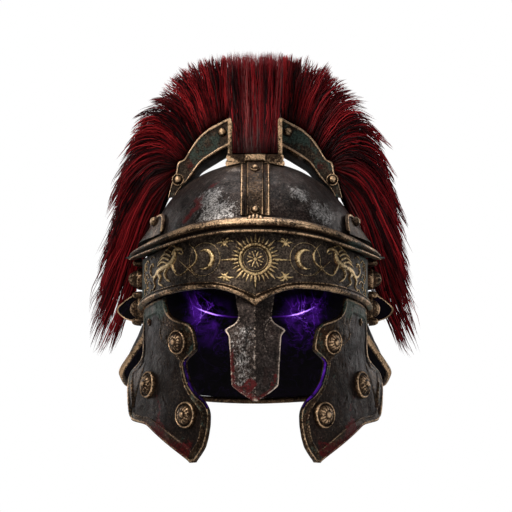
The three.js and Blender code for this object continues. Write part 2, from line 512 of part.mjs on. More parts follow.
for (const { name, sign } of SIDES) {
  add(`cheek_guard_${name}`, wall(
    cheekGrid(0).map((row) => row.map((p) => flip(p, sign))),
    cheekGrid(-CHEEK_WALL).map((row) => row.map((p) => flip(p, sign)))), STEEL);

  const stations = borderStations();
  const rings = stations.map(({ p, middle, reach, scale }) => {
    const q = (t) => p.clone().addScaledVector(middle, t * reach);
    return [[0.3, 0.7], [0.3, 0.7 + BORDER_WALL], [BORDER_WIDTH, 0.7 + BORDER_WALL * 0.6], [BORDER_WIDTH, 0.7]]
      .map(([t, out]) => { const s = q(t); return flip(off(s.x / scale, s.y, out), sign); });
  });
  add(`cheek_border_${name}`, hoop(rings), BRONZE);

  for (const boss of CHEEK_BOSSES) {
    stud(`cheek_boss_${boss.name}_${name}`, boss.radius, 6.4, flip(cheekPoint(boss.at, boss.z), sign), flip(cheekNormal(boss.at, boss.z), sign), BRONZE, 14, 0.9);
  }
  stud(`cheek_rivet_${name}`, 2.4, 2, flip(cheekPoint(70.5, -57.5), sign), flip(cheekNormal(70.5, -57.5), sign), BRONZE, 8, 0.8);

  // pin, knuckles and leaves: plates drawn across the pin and drawn out along it
  const axis = V(hingeAxis.x * sign, hingeAxis.y, 0), out = V(hingeOut.x * sign, hingeOut.y, 0), middle = flip(hingeMiddle, sign);
  const frame = new THREE.Matrix4().makeBasis(out, V(0, 0, 1), out.clone().cross(V(0, 0, 1)));
  const along = out.clone().cross(V(0, 0, 1)).dot(axis);   // +1 or -1
  const place = (mesh, start) => {
    mesh.quaternion.setFromRotationMatrix(frame);
    mesh.position.copy(middle.clone().addScaledVector(axis, start));
  };
  const leaf = (height, length) => {
    const r = KNUCKLE_RADIUS, up = Math.sign(height), ring = new THREE.Shape();
    // round the barrel from the leaf's outer face to its inner face
    ring.moveTo(r, 0);
    const steps = 9;
    const from = 0, to = -up * (Math.PI * 2 - Math.acos((r - 1.2) / r));
    for (let s = 1; s <= steps; s++) {
      const a = from + (to - from) * s / steps;
      ring.lineTo(r * Math.cos(a), r * Math.sin(a));
    }
    ring.lineTo(r - 1.2, height);
    ring.lineTo(r, height);
    const hole = new THREE.Path();
    for (let s = 0; s < 8; s++) {
      const a = s * Math.PI / 4;
      if (s === 0) hole.moveTo(KNUCKLE_BORE * Math.cos(a), KNUCKLE_BORE * Math.sin(a));
      else hole.lineTo(KNUCKLE_BORE * Math.cos(a), KNUCKLE_BORE * Math.sin(a));
    }
    hole.closePath();
    ring.holes.push(hole);
    return new THREE.ExtrudeGeometry(ring, { depth: length, bevelEnabled: false, curveSegments: 1 });
  };
  const third = HINGE_LENGTH / 3;
  for (const [label, height, start, length] of [
    ['hinge_upper_fore', 21, -HINGE_LENGTH / 2, third - 0.5],
    ['hinge_upper_aft', 21, HINGE_LENGTH / 2 - third + 0.5, third - 0.5],
    ['hinge_lower', -13, -third / 2, third],
  ]) {
    const mesh = add(`${label}_${name}`, leaf(height, length), BRONZE);
    place(mesh, along > 0 ? start : start + length);
  }
  const pin = add(`hinge_pin_${name}`, new THREE.CylinderGeometry(PIN_RADIUS, PIN_RADIUS, HINGE_LENGTH + 2, 8), BRONZE);
  pin.quaternion.setFromUnitVectors(V(0, 1, 0), axis);
  pin.position.copy(middle);
}

export default model;
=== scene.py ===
# Legionary helmet: fine surfaces, relief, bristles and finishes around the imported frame.
import bpy
import math
import numpy as np
from mathutils import Vector, Matrix


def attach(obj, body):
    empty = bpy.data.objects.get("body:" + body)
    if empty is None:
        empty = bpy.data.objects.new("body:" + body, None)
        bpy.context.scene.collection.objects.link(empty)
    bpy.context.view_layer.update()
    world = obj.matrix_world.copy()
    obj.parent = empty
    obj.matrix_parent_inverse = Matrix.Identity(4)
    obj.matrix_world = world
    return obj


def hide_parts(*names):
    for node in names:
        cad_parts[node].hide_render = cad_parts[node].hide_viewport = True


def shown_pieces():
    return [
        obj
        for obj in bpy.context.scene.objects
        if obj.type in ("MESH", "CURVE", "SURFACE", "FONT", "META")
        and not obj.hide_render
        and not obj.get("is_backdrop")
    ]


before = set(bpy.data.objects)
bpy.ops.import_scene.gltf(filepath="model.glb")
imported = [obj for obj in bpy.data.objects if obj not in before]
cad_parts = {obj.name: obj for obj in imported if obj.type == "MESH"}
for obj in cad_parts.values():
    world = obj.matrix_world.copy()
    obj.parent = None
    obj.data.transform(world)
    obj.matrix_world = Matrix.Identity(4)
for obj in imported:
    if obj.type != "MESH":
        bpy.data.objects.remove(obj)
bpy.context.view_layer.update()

# ---------------------------------------------------------------- sizes, millimetres, as in the construction
A, B, C = 93.0, 115.0, 87.0            # dome half width, half depth, height
WALL = 2.0
LIFT = -(C - WALL)                     # the frame's origin is the inside of the crown
FLARE, FLARE_TOP, FLARE_DROP = 0.41, -20.0, 70.0
PLATE_OUT, PLATE_WALL = 3.6, 2.4
ARCH_FRONT, ARCH_DEPTH = -8.0, 36.0
SOCKET_HALF, SOCKET_REACH, SOCKET_POST, SOCKET_WALL = 22.8, 55.0, 39.4, 3.5

BOWL_EDGE = np.array([[0, -32], [84, -32], [88, -45], [97, -47.5], [103, -58], [110, -80], [118, -88], [150, -92], [180, -93]], float)
BROW_DIP = np.array([[0, 0], [15, -0.4], [30, -2.2], [48, -5.5], [66, -5.5], [90, 0]], float)
PLATE_EDGE = np.array([[0, -54.5], [2, -52.5], [4.6, -49.5], [9.2, -45.4], [14, -42.2], [19, -40.2], [26, -39.6], [45, -39.2], [55, -37], [90, -37]], float)
LOWER_RIM = np.array([[0, -47, -57], [2, -45.9, -54.4], [4.6, -44.2, -51.2], [9.2, -40.8, -47], [14, -37.9, -43.8], [19, -36.2, -41.7],
                      [26, -34.8, -40.8], [37, -33.7, -40.5], [60, -34, -41], [82, -34.5, -42]], float)
NASAL = np.array([[-43, 15.5, -114.6], [-50, 15.2, -115], [-54, 14.4, -115.6], [-60, 13.2, -117.4], [-66.5, 12.8, -119.6], [-70, 15.2, -121], [-75, 24, -122.5],
                  [-80, 20.4, -123.5], [-92, 19.5, -124.6], [-106, 18.7, -125], [-120, 17.9, -125.4], [-126, 11, -125.5], [-132.5, 1.4, -125.5]], float)
ARCH = np.array([[-23.6, 104.6, -23.6, 129.8], [-29.8, 101.0, -32.3, 124.9], [-35.8, 97.2, -41.4, 119.6], [-41.5, 93.6, -50.2, 111],
                 [-46.8, 89.8, -56.8, 101], [-50.8, 84.8, -61.7, 92.7], [-53.6, 80.2, -66.8, 89.6], [-58.2, 74.2, -68.6, 80.4],
                 [-62.8, 69.4, -71.4, 73], [-66.4, 64.8, -73.4, 65.8], [-69.2, 59.6, -75, 58.2]], float)
CHEEK = np.array([[-40.8, 52.2, 81], [-47.4, 52, 81], [-53, 50.6, 80.6], [-58.5, 47.4, 80.2], [-62, 42.5, 80],
                  [-65.5, 35.8, 79.8], [-72, 33.2, 79.6], [-80, 32.5, 79.8], [-85.7, 32.3, 83], [-88.3, 32.4, 92.5], [-90.6, 36, 93],
                  [-95, 39.9, 92.4], [-103, 39.3, 89], [-112, 37.4, 86.6], [-120.5, 33.4, 85.4], [-128, 28.2, 84.3], [-134, 25.7, 82.6],
                  [-137.2, 25, 79.6], [-140, 24.7, 71.8], [-148, 25, 65], [-157, 26.3, 56.6], [-165, 28.3, 48.8], [-171, 31.8, 42.8],
                  [-176, 35.6, 38]], float)
BULGE_AT = np.array([20, 38, 55, 70, 80, 88, 94], float)
BULGE_Z = np.array([-34, -60, -85, -110, -135, -167], float)
BULGE = np.array([[1, 1, 1, 1, 1, 1, 1], [0.97, 0.975, 0.985, 1, 1.01, 1.015, 1.02], [0.94, 0.94, 0.96, 0.985, 1.02, 1.06, 1.1],
                  [0.93, 0.92, 0.94, 0.99, 1.07, 1.16, 1.24], [0.92, 0.91, 0.94, 1, 1.09, 1.18, 1.26], [0.91, 0.89, 0.93, 1, 1.09, 1.18, 1.26]], float)
CHEEK_WALL = 1.6


# ---------------------------------------------------------------- numbers
def noise3(p, seed=0):
    """Smooth value noise from 0 to 1 at points p, in cells of one unit."""
    p = np.asarray(p, float)
    cell = np.floor(p).astype(np.int64)
    f = p - cell
    f = f * f * (3 - 2 * f)

    def value(dx, dy, dz):
        n = (cell[..., 0] + dx) * 374761393 + (cell[..., 1] + dy) * 668265263 + (cell[..., 2] + dz) * 1442695041 + seed * 974634777
        n = n & 0x7FFFFFFF
        n = ((n ^ (n >> 13)) * 1274126177) & 0x7FFFFFFF
        n = n ^ (n >> 16)
        return (n & 0xFFFF) / 65535.0

    out = 0.0
    for dx in (0, 1):
        wx = f[..., 0] if dx else 1 - f[..., 0]
        for dy in (0, 1):
            wy = f[..., 1] if dy else 1 - f[..., 1]
            for dz in (0, 1):
                wz = f[..., 2] if dz else 1 - f[..., 2]
                out = out + wx * wy * wz * value(dx, dy, dz)
    return out


def cloud(p, size, octaves=3, seed=0):
    """Fractal noise round 0, from about -1 to 1, with lumps of that size in millimetres."""
    total, weight, amount = 0.0, 0.0, 1.0
    for o in range(octaves):
        total = total + amount * (noise3(np.asarray(p) * (2 ** o) / size, seed + o * 17) * 2 - 1)
        weight += amount
        amount *= 0.5
    return total / weight * 1.4


def step(lo, hi, x):
    t = np.clip((x - lo) / (hi - lo), 0, 1)
    return t * t * (3 - 2 * t)


def hermite(xs, ys, x):
    """Smooth curve through rows ys (one row for each x in xs; a row may hold one value for each point) at x."""
    xs = np.asarray(xs, float)
    x = np.asarray(x, float)
    ys = [np.asarray(y, float) for y in ys]
    n = len(xs)
    slopes = []
    for i in range(n):
        a, b = max(i - 1, 0), min(i + 1, n - 1)
        slopes.append((ys[b] - ys[a]) / (xs[b] - xs[a]))
    sign = 1 if xs[-1] > xs[0] else -1
    k = np.clip(np.searchsorted(xs * sign, x * sign) - 1, 0, n - 2)
    Y = np.stack([np.broadcast_to(y, x.shape) for y in ys])
    S = np.stack([np.broadcast_to(s, x.shape) for s in slopes])

    def pick(table, index):
        return np.take_along_axis(table, index[None], 0)[0]

    y0, y1, m0, m1 = pick(Y, k), pick(Y, k + 1), pick(S, k), pick(S, k + 1)
    h = xs[k + 1] - xs[k]
    t = (x - xs[k]) / h
    inside = (2 * t ** 3 - 3 * t ** 2 + 1) * y0 + (t ** 3 - 2 * t ** 2 + t) * h * m0 + (3 * t ** 2 - 2 * t ** 3) * y1 + (t ** 3 - t ** 2) * h * m1
    return np.where(t < 0, y0 + m0 * (x - xs[0]), np.where(t > 1, y1 + m1 * (x - xs[-1]), inside))


def polyline_distance(points, line):
    """Distance of each point to a polyline, in any number of dimensions."""
    points, line = np.asarray(points, float), np.asarray(line, float)
    flat = points.reshape(-1, points.shape[-1])
    best = np.full(len(flat), 1e9)
    for a, b in zip(line[:-1], line[1:]):
        d = b - a
        t = np.clip(((flat - a) @ d) / max(d @ d, 1e-9), 0, 1)
        best = np.minimum(best, np.linalg.norm(flat - (a + t[:, None] * d), axis=1))
    return best.reshape(points.shape[:-1])


def normals(P, closed_cols=False):
    """Unit normals of a grid of points, from its row and column directions; which side they face depends on the order
    of the grid.
    """
    dr = np.gradient(P, axis=0)
    if closed_cols:
        dc = (np.roll(P, -1, 1) - np.roll(P, 1, 1)) / 2
    else:
        dc = np.gradient(P, axis=1)
    n = np.cross(dr, dc)
    n /= np.maximum(np.linalg.norm(n, axis=-1, keepdims=True), 1e-12)
    return n


def outward(n, P):
    """Turns all the normals of a grid the same way, away from the middle of the head."""
    mean = np.mean(np.sum(n * (P - np.array([0, 0, -20.0])), axis=-1))
    return n if mean > 0 else -n


# ---------------------------------------------------------------- meshes
def piece(name, V, quads=(), tris=(), body="helmet", mats=(), index=None, attrs=None, slot="bronze", stands_for=(), sharp=38):
    """A closed mesh from points in millimetres, turned so that its faces point out, riding on a body."""
    V = np.asarray(V, float).copy()
    V[:, 2] += LIFT
    V *= 0.001
    quads = np.asarray(quads, np.int64).reshape(-1, 4)
    tris = np.asarray(tris, np.int64).reshape(-1, 3)
    volume = 0.0
    for f in ([quads[:, [0, 1, 2]], quads[:, [0, 2, 3]]] if len(quads) else []) + ([tris] if len(tris) else []):
        a, b, c = V[f[:, 0]], V[f[:, 1]], V[f[:, 2]]
        volume += np.sum(np.einsum("ij,ij->i", a, np.cross(b, c))) / 6
    if volume < 0:
        quads, tris = quads[:, ::-1], tris[:, ::-1]
    me = bpy.data.meshes.new(name)
    me.vertices.add(len(V))
    me.vertices.foreach_set("co", V.astype(np.float32).ravel())
    me.loops.add(len(quads) * 4 + len(tris) * 3)
    me.loops.foreach_set("vertex_index", np.concatenate([quads.ravel(), tris.ravel()]).astype(np.int32))
    me.polygons.add(len(quads) + len(tris))
    starts = np.concatenate([np.arange(len(quads)) * 4, len(quads) * 4 + np.arange(len(tris)) * 3])
    me.polygons.foreach_set("loop_start", starts.astype(np.int32))
    for m in mats:
        me.materials.append(m)
    if index is not None:
        me.polygons.foreach_set("material_index", np.asarray(index, np.int32))
    me.update(calc_edges=True)
    me.validate()
    me.polygons.foreach_set("use_smooth", np.ones(len(me.polygons), bool))
    if sharp is not None:
        me.set_sharp_from_angle(angle=math.radians(sharp))
    for key, values in (attrs or {}).items():
        me.attributes.new(key, "FLOAT", "POINT").data.foreach_set("value", np.asarray(values, np.float32).ravel())
    o = bpy.data.objects.new(name, me)
    bpy.context.scene.collection.objects.link(o)
    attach(o, body)
    if stands_for:
        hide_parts(*stands_for)
    return o


def grid_quads(rows, cols, base=0, wrap=False):
    r = np.arange(rows - 1)[:, None]
    c = np.arange(cols if wrap else cols - 1)[None, :]
    n = (c + 1) % cols
    return np.stack([base + r * cols + c, base + r * cols + n, base + (r + 1) * cols + n, base + (r + 1) * cols + c], -1).reshape(-1, 4)


def wall(outer, inner):
    """Closed sheet between two grids of the same size: points and quads, the outer face first."""
    rows, cols = outer.shape[:2]
    half = rows * cols
    at = lambda r, c: r * cols + c
    q = [grid_quads(rows, cols), grid_quads(rows, cols, half)[:, ::-1]]
    r = np.arange(rows - 1)
    c = np.arange(cols - 1)
    last_c, last_r = np.full(len(r), cols - 1), np.full(len(c), rows - 1)
    zero_c, zero_r = np.zeros(len(r), int), np.zeros(len(c), int)
    q.append(np.stack([at(r, zero_c), at(r + 1, zero_c), half + at(r + 1, zero_c), half + at(r, zero_c)], -1))
    q.append(np.stack([at(r, last_c), half + at(r, last_c), half + at(r + 1, last_c), at(r + 1, last_c)], -1))
    q.append(np.stack([at(zero_r, c), half + at(zero_r, c), half + at(zero_r, c + 1), at(zero_r, c + 1)], -1))
    q.append(np.stack([at(last_r, c), at(last_r, c + 1), half + at(last_r, c + 1), half + at(last_r, c)], -1))
    return np.concatenate([outer.reshape(-1, 3), inner.reshape(-1, 3)]), np.concatenate(q)


def sweep(rings):
    """Closed body from rings of points in a row: points, quads, end triangles."""
    rings = np.asarray(rings, float)
    n, m = rings.shape[:2]
    V = rings.reshape(-1, 3)
    ends = np.stack([rings[0].mean(0), rings[-1].mean(0)])
    i = np.arange(m)
    j = (i + 1) % m
    t = np.concatenate([np.stack([np.full(m, n * m), j, i], -1), np.stack([np.full(m, n * m + 1), (n - 1) * m + i, (n - 1) * m + j], -1)])
    return np.concatenate([V, ends]), grid_quads(n, m, 0, True), t


def mirror(P, sign):
    P = np.array(P, float)
    P[..., 0] *= sign
    return P


SIDES = (("left", 1.0), ("right", -1.0))


# ---------------------------------------------------------------- finishes
def tree(name):
    m = bpy.data.materials.new(name)
    m.use_nodes = True
    nt = m.node_tree
    nt.nodes.clear()
    out = nt.nodes.new("ShaderNodeOutputMaterial")
    shader = nt.nodes.new("ShaderNodeBsdfPrincipled")
    nt.links.new(shader.outputs[0], out.inputs[0])
    return m, nt, shader


def put(nt, socket, value):
    if isinstance(value, bpy.types.NodeSocket):
        nt.links.new(value, socket)
    elif isinstance(value, (tuple, list)) and len(value) == 3 and socket.type == "RGBA":
        socket.default_value = (*value, 1)
    else:
        socket.default_value = value


def node(nt, kind, values=None, **settings):
    n = nt.nodes.new(kind)
    for key, value in settings.items():
        setattr(n, key, value)
    for key, value in (values or {}).items():
        put(nt, n.inputs[key], value)
    return n


def mix(nt, factor, a, b, blend="MIX"):
    n = nt.nodes.new("ShaderNodeMix")
    n.data_type = "RGBA"
    n.blend_type = blend
    n.clamp_factor = True
    put(nt, n.inputs[0], factor)
    put(nt, n.inputs[6], a)
    put(nt, n.inputs[7], b)
    return n.outputs[2]


def maths(nt, operation, a, b=0.0, clamp=False):
    n = nt.nodes.new("ShaderNodeMath")
    n.operation = operation
    n.use_clamp = clamp
    put(nt, n.inputs[0], a)
    put(nt, n.inputs[1], b)
    return n.outputs[0]


def ramp(nt, value, lo, hi, to=(0.0, 1.0)):
    n = nt.nodes.new("ShaderNodeMapRange")
    n.interpolation_type = "SMOOTHSTEP"
    put(nt, n.inputs[0], value)
    n.inputs[1].default_value, n.inputs[2].default_value = lo, hi
    n.inputs[3].default_value, n.inputs[4].default_value = to
    return n.outputs[0]


def place(nt, stretch=(1, 1, 1)):
    t = nt.nodes.new("ShaderNodeTexCoord")
    if stretch == (1, 1, 1):
        return t.outputs["Object"]
    m = nt.nodes.new("ShaderNodeMapping")
    nt.links.new(t.outputs["Object"], m.inputs[0])
    m.inputs["Scale"].default_value = stretch
    return m.outputs[0]


def noise(nt, at, scale, detail=4.0, rough=0.55, distortion=0.0):
    n = nt.nodes.new("ShaderNodeTexNoise")
    nt.links.new(at, n.inputs["Vector"])
    n.inputs["Scale"].default_value = scale
    n.inputs["Detail"].default_value = detail
    n.inputs["Roughness"].default_value = rough
    n.inputs["Distortion"].default_value = distortion
    return n.outputs["Fac"]


def cells(nt, at, scale, feature="F1"):
    n = nt.nodes.new("ShaderNodeTexVoronoi")
    n.feature = feature
    nt.links.new(at, n.inputs["Vector"])
    n.inputs["Scale"].default_value = scale
    return n.outputs["Distance"]


def attribute(nt, name):
    n = nt.nodes.new("ShaderNodeAttribute")
    n.attribute_name = name
    return n.outputs["Fac"]


def bump(nt, height, strength, distance, before=None):
    n = nt.nodes.new("ShaderNodeBump")
    n.inputs["Strength"].default_value = strength
    n.inputs["Distance"].default_value = distance
    nt.links.new(height, n.inputs["Height"])
    if before is not None:
        nt.links.new(before, n.inputs["Normal"])
    return n.outputs[0]


def metal(name, dark, middle, light, wear_and_painted_highlight, patina_amount, rough=(0.32, 0.62), pits=0.5, metallic=0.92, blotch=45.0, rust=(0.07, 0.038, 0.028)):
    """Old metal: dark film, rubbed high spots that also carry painted highlights, pale patches of wear and painted
    highlight, painted shade in grooves and hollows, patina in patches and dried stains, pitted and scratched.
    """
    m, nt, shader = tree(name)
    at = place(nt)
    big = noise(nt, at, blotch, 5, 0.6)
    fine = noise(nt, at, 420, 5, 0.7)
    grit = noise(nt, at, 1500, 3, 0.6)
    streak = noise(nt, place(nt, (1, 1, 0.22)), 260, 4, 0.65, 0.3)
    colour = mix(nt, ramp(nt, big, 0.36, 0.64), dark, middle)
    colour = mix(nt, maths(nt, "MULTIPLY", ramp(nt, fine, 0.5, 0.72), 0.75), colour, light)
    colour = mix(nt, maths(nt, "MULTIPLY", ramp(nt, streak, 0.52, 0.75), 0.35), colour, light)
    brown = ramp(nt, noise(nt, at, 85, 4, 0.6, 0.4), 0.5, 0.68)
    colour = mix(nt, maths(nt, "MULTIPLY", brown, 0.6), colour, rust)
    speck = noise(nt, at, 620, 5, 0.78)
    colour = mix(nt, maths(nt, "MULTIPLY", ramp(nt, speck, 0.56, 0.42), 0.82), colour, tuple(c * 0.22 for c in dark))
    colour = mix(nt, maths(nt, "MULTIPLY", ramp(nt, speck, 0.58, 0.7), 0.5), colour, light)
    # rubbed ridges: wear and painted highlight, the marked ridge tops are lightened towards a pale metal colour
    ridge = attribute(nt, "edge")
    ridge_wear_and_highlight = maths(nt, "ADD", maths(nt, "MULTIPLY", ridge, 1.0), maths(nt, "MULTIPLY", maths(nt, "SUBTRACT", speck, 0.5), 2.6))
    ridge_wear_and_highlight = maths(nt, "ADD", ridge_wear_and_highlight, maths(nt, "MULTIPLY", maths(nt, "SUBTRACT", big, 0.5), 1.6))
    ridge_wear_and_highlight = ramp(nt, ridge_wear_and_highlight, 0.44, 1.02)
    colour = mix(nt, maths(nt, "MULTIPLY", ridge_wear_and_highlight, 0.9), colour, wear_and_painted_highlight)
    # pale glossy patches from the patch mask: wear, and painted highlights where the mask stands in for reflections
    patch = attribute(nt, "wear_and_painted_highlight")
    patch_breakup = noise(nt, place(nt, (1, 1, 0.6)), 330, 6, 0.75, 0.5)
    highlight_and_wear_patch = ramp(nt, maths(nt, "ADD", maths(nt, "MULTIPLY", patch, 0.5), maths(nt, "MULTIPLY", maths(nt, "ADD", patch_breakup, maths(nt, "MULTIPLY", maths(nt, "SUBTRACT", speck, 0.5), 0.9)), 0.9)), 0.74, 0.98)
    highlight_and_wear_patch = maths(nt, "MULTIPLY", highlight_and_wear_patch, ramp(nt, patch, 0.02, 0.3))
    highlight_and_wear_patch = maths(nt, "MULTIPLY", highlight_and_wear_patch, ramp(nt, speck, 0.4, 0.56, (0.25, 1.0)))
    colour = mix(nt, maths(nt, "MULTIPLY", highlight_and_wear_patch, 0.9), colour, (0.6, 0.565, 0.54))
    # painted shade: grooves and other marked hollows are darkened nearly to black
    painted_shade = attribute(nt, "painted_shade")
    colour = mix(nt, maths(nt, "MULTIPLY", painted_shade, 0.85), colour, (0.012, 0.009, 0.008))
    # green patina
    spots = noise(nt, at, 130, 5, 0.7, 0.2)
    green = ramp(nt, maths(nt, "ADD", spots, maths(nt, "MULTIPLY", attribute(nt, "patina"), 0.32)), 0.66 - patina_amount, 0.78 - patina_amount)
    green = maths(nt, "MULTIPLY", maths(nt, "MULTIPLY", green, 0.7), ramp(nt, speck, 0.38, 0.56))
    colour = mix(nt, green, colour, mix(nt, fine, (0.015, 0.05, 0.04), (0.07, 0.14, 0.11)))
    # pits
    pit = ramp(nt, cells(nt, at, 300), 0.0, 0.28, (1.0, 0.0))
    pit = maths(nt, "MULTIPLY", pit, ramp(nt, noise(nt, at, 150, 3), 0.5, 0.62))
    colour = mix(nt, maths(nt, "MULTIPLY", pit, 0.8 * pits), colour, (0.01, 0.008, 0.008))
    # dried stains
    blood = ramp(nt, maths(nt, "ADD", maths(nt, "MULTIPLY", attribute(nt, "stain"), 0.5), maths(nt, "MULTIPLY", noise(nt, at, 240, 6, 0.85, 0.9), 1.15)), 0.985, 1.04)
    blood = maths(nt, "MULTIPLY", blood, ramp(nt, attribute(nt, "stain"), 0.02, 0.25))
    blood = maths(nt, "MULTIPLY", blood, ramp(nt, speck, 0.4, 0.5))
    colour = mix(nt, blood, colour, mix(nt, fine, (0.03, 0.0005, 0.0007), (0.165, 0.0016, 0.0024)))
    put(nt, shader.inputs["Base Color"], colour)
    r = ramp(nt, noise(nt, at, 110, 4, 0.6), 0.3, 0.7, rough)
    r = mix_value(nt, green, r, 0.75)
    r = mix_value(nt, maths(nt, "MULTIPLY", ridge_wear_and_highlight, 0.6), r, rough[0])
    r = mix_value(nt, maths(nt, "MULTIPLY", patch, 0.7), r, 0.27)
    r = mix_value(nt, blood, r, 0.5)
    put(nt, shader.inputs["Roughness"], r)
    put(nt, shader.inputs["Metallic"], mix_value(nt, maths(nt, "MAXIMUM", maths(nt, "MULTIPLY", green, 0.8), maths(nt, "MULTIPLY", blood, 0.35)), metallic, 0.05))
    height = bump(nt, noise(nt, at, 120, 5, 0.65), 0.55, 0.0014)
    height = bump(nt, fine, 0.6, 0.0005, height)
    height = bump(nt, maths(nt, "MULTIPLY", pit, -1.0), 0.6 * pits, 0.0007, height)
    height = bump(nt, grit, 0.25, 0.00015, height)
    put(nt, shader.inputs["Normal"], height)
    return m


def mix_value(nt, factor, a, b):
    n = nt.nodes.new("ShaderNodeMix")
    n.data_type = "FLOAT"
    n.clamp_factor = True
    put(nt, n.inputs[0], factor)
    put(nt, n.inputs[2], a)
    put(nt, n.inputs[3], b)
    return n.outputs[0]


STEEL = metal("dark_steel", (0.02, 0.014, 0.012), (0.07, 0.049, 0.041), (0.19, 0.143, 0.118), (0.66, 0.52, 0.42), -0.02, (0.36, 0.62), 1.0, 0.82, 45.0, (0.04, 0.018, 0.014))
CHEEK_STEEL = metal("cheek_steel", (0.015, 0.009, 0.007), (0.058, 0.034, 0.024), (0.19, 0.12, 0.082), (0.62, 0.45, 0.33), 0.0, (0.42, 0.68), 1.0, 0.8, 40.0, (0.07, 0.022, 0.014))
BRONZE = metal("aged_bronze", (0.03, 0.017, 0.01), (0.115, 0.066, 0.034), (0.34, 0.21, 0.12), (0.88, 0.58, 0.34), 0.025, (0.34, 0.54), 0.9, 0.88, 45.0, (0.085, 0.03, 0.016))
PATINA = metal("patinated_bronze", (0.025, 0.017, 0.012), (0.08, 0.054, 0.036), (0.24, 0.17, 0.11), (0.85, 0.57, 0.35), 0.045, (0.38, 0.6), 0.9, 0.8, 45.0, (0.1, 0.026, 0.014))
PLATE = metal("blackened_bronze", (0.026, 0.019, 0.015), (0.115, 0.084, 0.062), (0.3, 0.22, 0.155), (0.45, 0.32, 0.2), 0.01, (0.42, 0.62), 1.0, 0.8, 45.0, (0.045, 0.018, 0.012))
GILT = metal("gilt_relief", (0.08, 0.042, 0.016), (0.26, 0.15, 0.06), (0.5, 0.33, 0.14), (0.95, 0.68, 0.34), -0.06, (0.3, 0.5), 0.7, 0.9, 45.0, (0.14, 0.05, 0.02))


def glowing_interior_material():
    """Violet-black inside with painted glowing light: one bright curved vein on the wall behind each eye and fine veins
    round it shine by emission, over a violet tint in the base colour.
    """
    m, nt, shader = tree("violet_glowing_interior")
    at = place(nt)
    coord = nt.nodes.new("ShaderNodeTexCoord")
    split = nt.nodes.new("ShaderNodeSeparateXYZ")
    nt.links.new(coord.outputs["Object"], split.inputs[0])
    x, y, z = maths(nt, "ABSOLUTE", split.outputs[0]), split.outputs[1], split.outputs[2]
    bend = noise(nt, at, 60, 4, 0.6)
    # z of the bright vein of painted light: lowest near the middle, climbing towards the ear
    rise = maths(nt, "MULTIPLY", maths(nt, "POWER", maths(nt, "ABSOLUTE", maths(nt, "SUBTRACT", x, 0.024)), 2.0), 5.2)
    path = maths(nt, "ADD", maths(nt, "ADD", rise, -0.1092), maths(nt, "MULTIPLY", maths(nt, "SUBTRACT", bend, 0.5), 0.003))
    gap = maths(nt, "ABSOLUTE", maths(nt, "SUBTRACT", z, path))
    rear = ramp(nt, y, 0.05, 0.075)
    span = maths(nt, "MULTIPLY", ramp(nt, x, 0.008, 0.024), ramp(nt, x, 0.048, 0.062, (1.0, 0.0)))
    arc = maths(nt, "MULTIPLY", maths(nt, "MULTIPLY", ramp(nt, gap, 0.0, 0.0011, (1.0, 0.0)), span), rear)
    bright = ramp(nt, maths(nt, "ABSOLUTE", maths(nt, "SUBTRACT", x, 0.041)), 0.0, 0.018, (1.0, 0.14))
    above = ramp(nt, maths(nt, "SUBTRACT", z, path), 0.0, 0.019, (1.0, 0.0))
    below = ramp(nt, maths(nt, "SUBTRACT", path, z), 0.0, 0.038, (1.0, 0.0))
    halo = maths(nt, "MULTIPLY", maths(nt, "MULTIPLY", maths(nt, "MULTIPLY", above, below), ramp(nt, maths(nt, "ABSOLUTE", maths(nt, "SUBTRACT", x, 0.044)), 0.0, 0.027, (1.0, 0.0))), rear)
    wave = noise(nt, at, 30, 5, 0.62, 1.3)
    vein = ramp(nt, maths(nt, "ABSOLUTE", maths(nt, "SUBTRACT", wave, 0.5)), 0.0, 0.016, (1.0, 0.0))
    wave2 = noise(nt, at, 62, 6, 0.68, 1.8)
    vein2 = ramp(nt, maths(nt, "ABSOLUTE", maths(nt, "SUBTRACT", wave2, 0.47)), 0.0, 0.02, (1.0, 0.0))
    mist = ramp(nt, noise(nt, at, 40, 5, 0.65, 0.8), 0.4, 0.75)
    painted_glowing = attribute(nt, "painted_glowing")
    fine = maths(nt, "ADD", maths(nt, "MULTIPLY", vein, 0.42), maths(nt, "MULTIPLY", vein2, 0.12))
    base = mix(nt, mist, (0.001, 0.0006, 0.0012), (0.004, 0.0014, 0.007))
    base = mix(nt, maths(nt, "MULTIPLY", fine, 0.4), base, (0.03, 0.012, 0.08))
    put(nt, shader.inputs["Base Color"], base)
    shader.inputs["Roughness"].default_value = 0.75
    shader.inputs["Specular IOR Level"].default_value = 0.08
    soft = maths(nt, "MULTIPLY", maths(nt, "ADD", maths(nt, "MULTIPLY", mist, 0.34), fine), maths(nt, "ADD", maths(nt, "MULTIPLY", halo, 0.9), 0.004))
    # painted glowing light: emission from the veins and haze, scaled by each piece's mask
    light = maths(nt, "ADD", maths(nt, "MULTIPLY", soft, painted_glowing), maths(nt, "MULTIPLY", maths(nt, "MULTIPLY", arc, bright), painted_glowing))
    light = maths(nt, "ADD", light, maths(nt, "MULTIPLY", ramp(nt, painted_glowing, 1.2, 2.2), maths(nt, "MULTIPLY", mist, 0.5)))
    put(nt, shader.inputs["Emission Color"], mix(nt, ramp(nt, light, 0.15, 0.9), (0.13, 0.015, 0.5), (0.5, 0.24, 1.0)))
    put(nt, shader.inputs["Emission Strength"], maths(nt, "MULTIPLY", light, 2.0))
    put(nt, shader.inputs["Normal"], bump(nt, noise(nt, at, 160, 4), 0.3, 0.0008))
    return m


GLOWING_INTERIOR = glowing_interior_material()


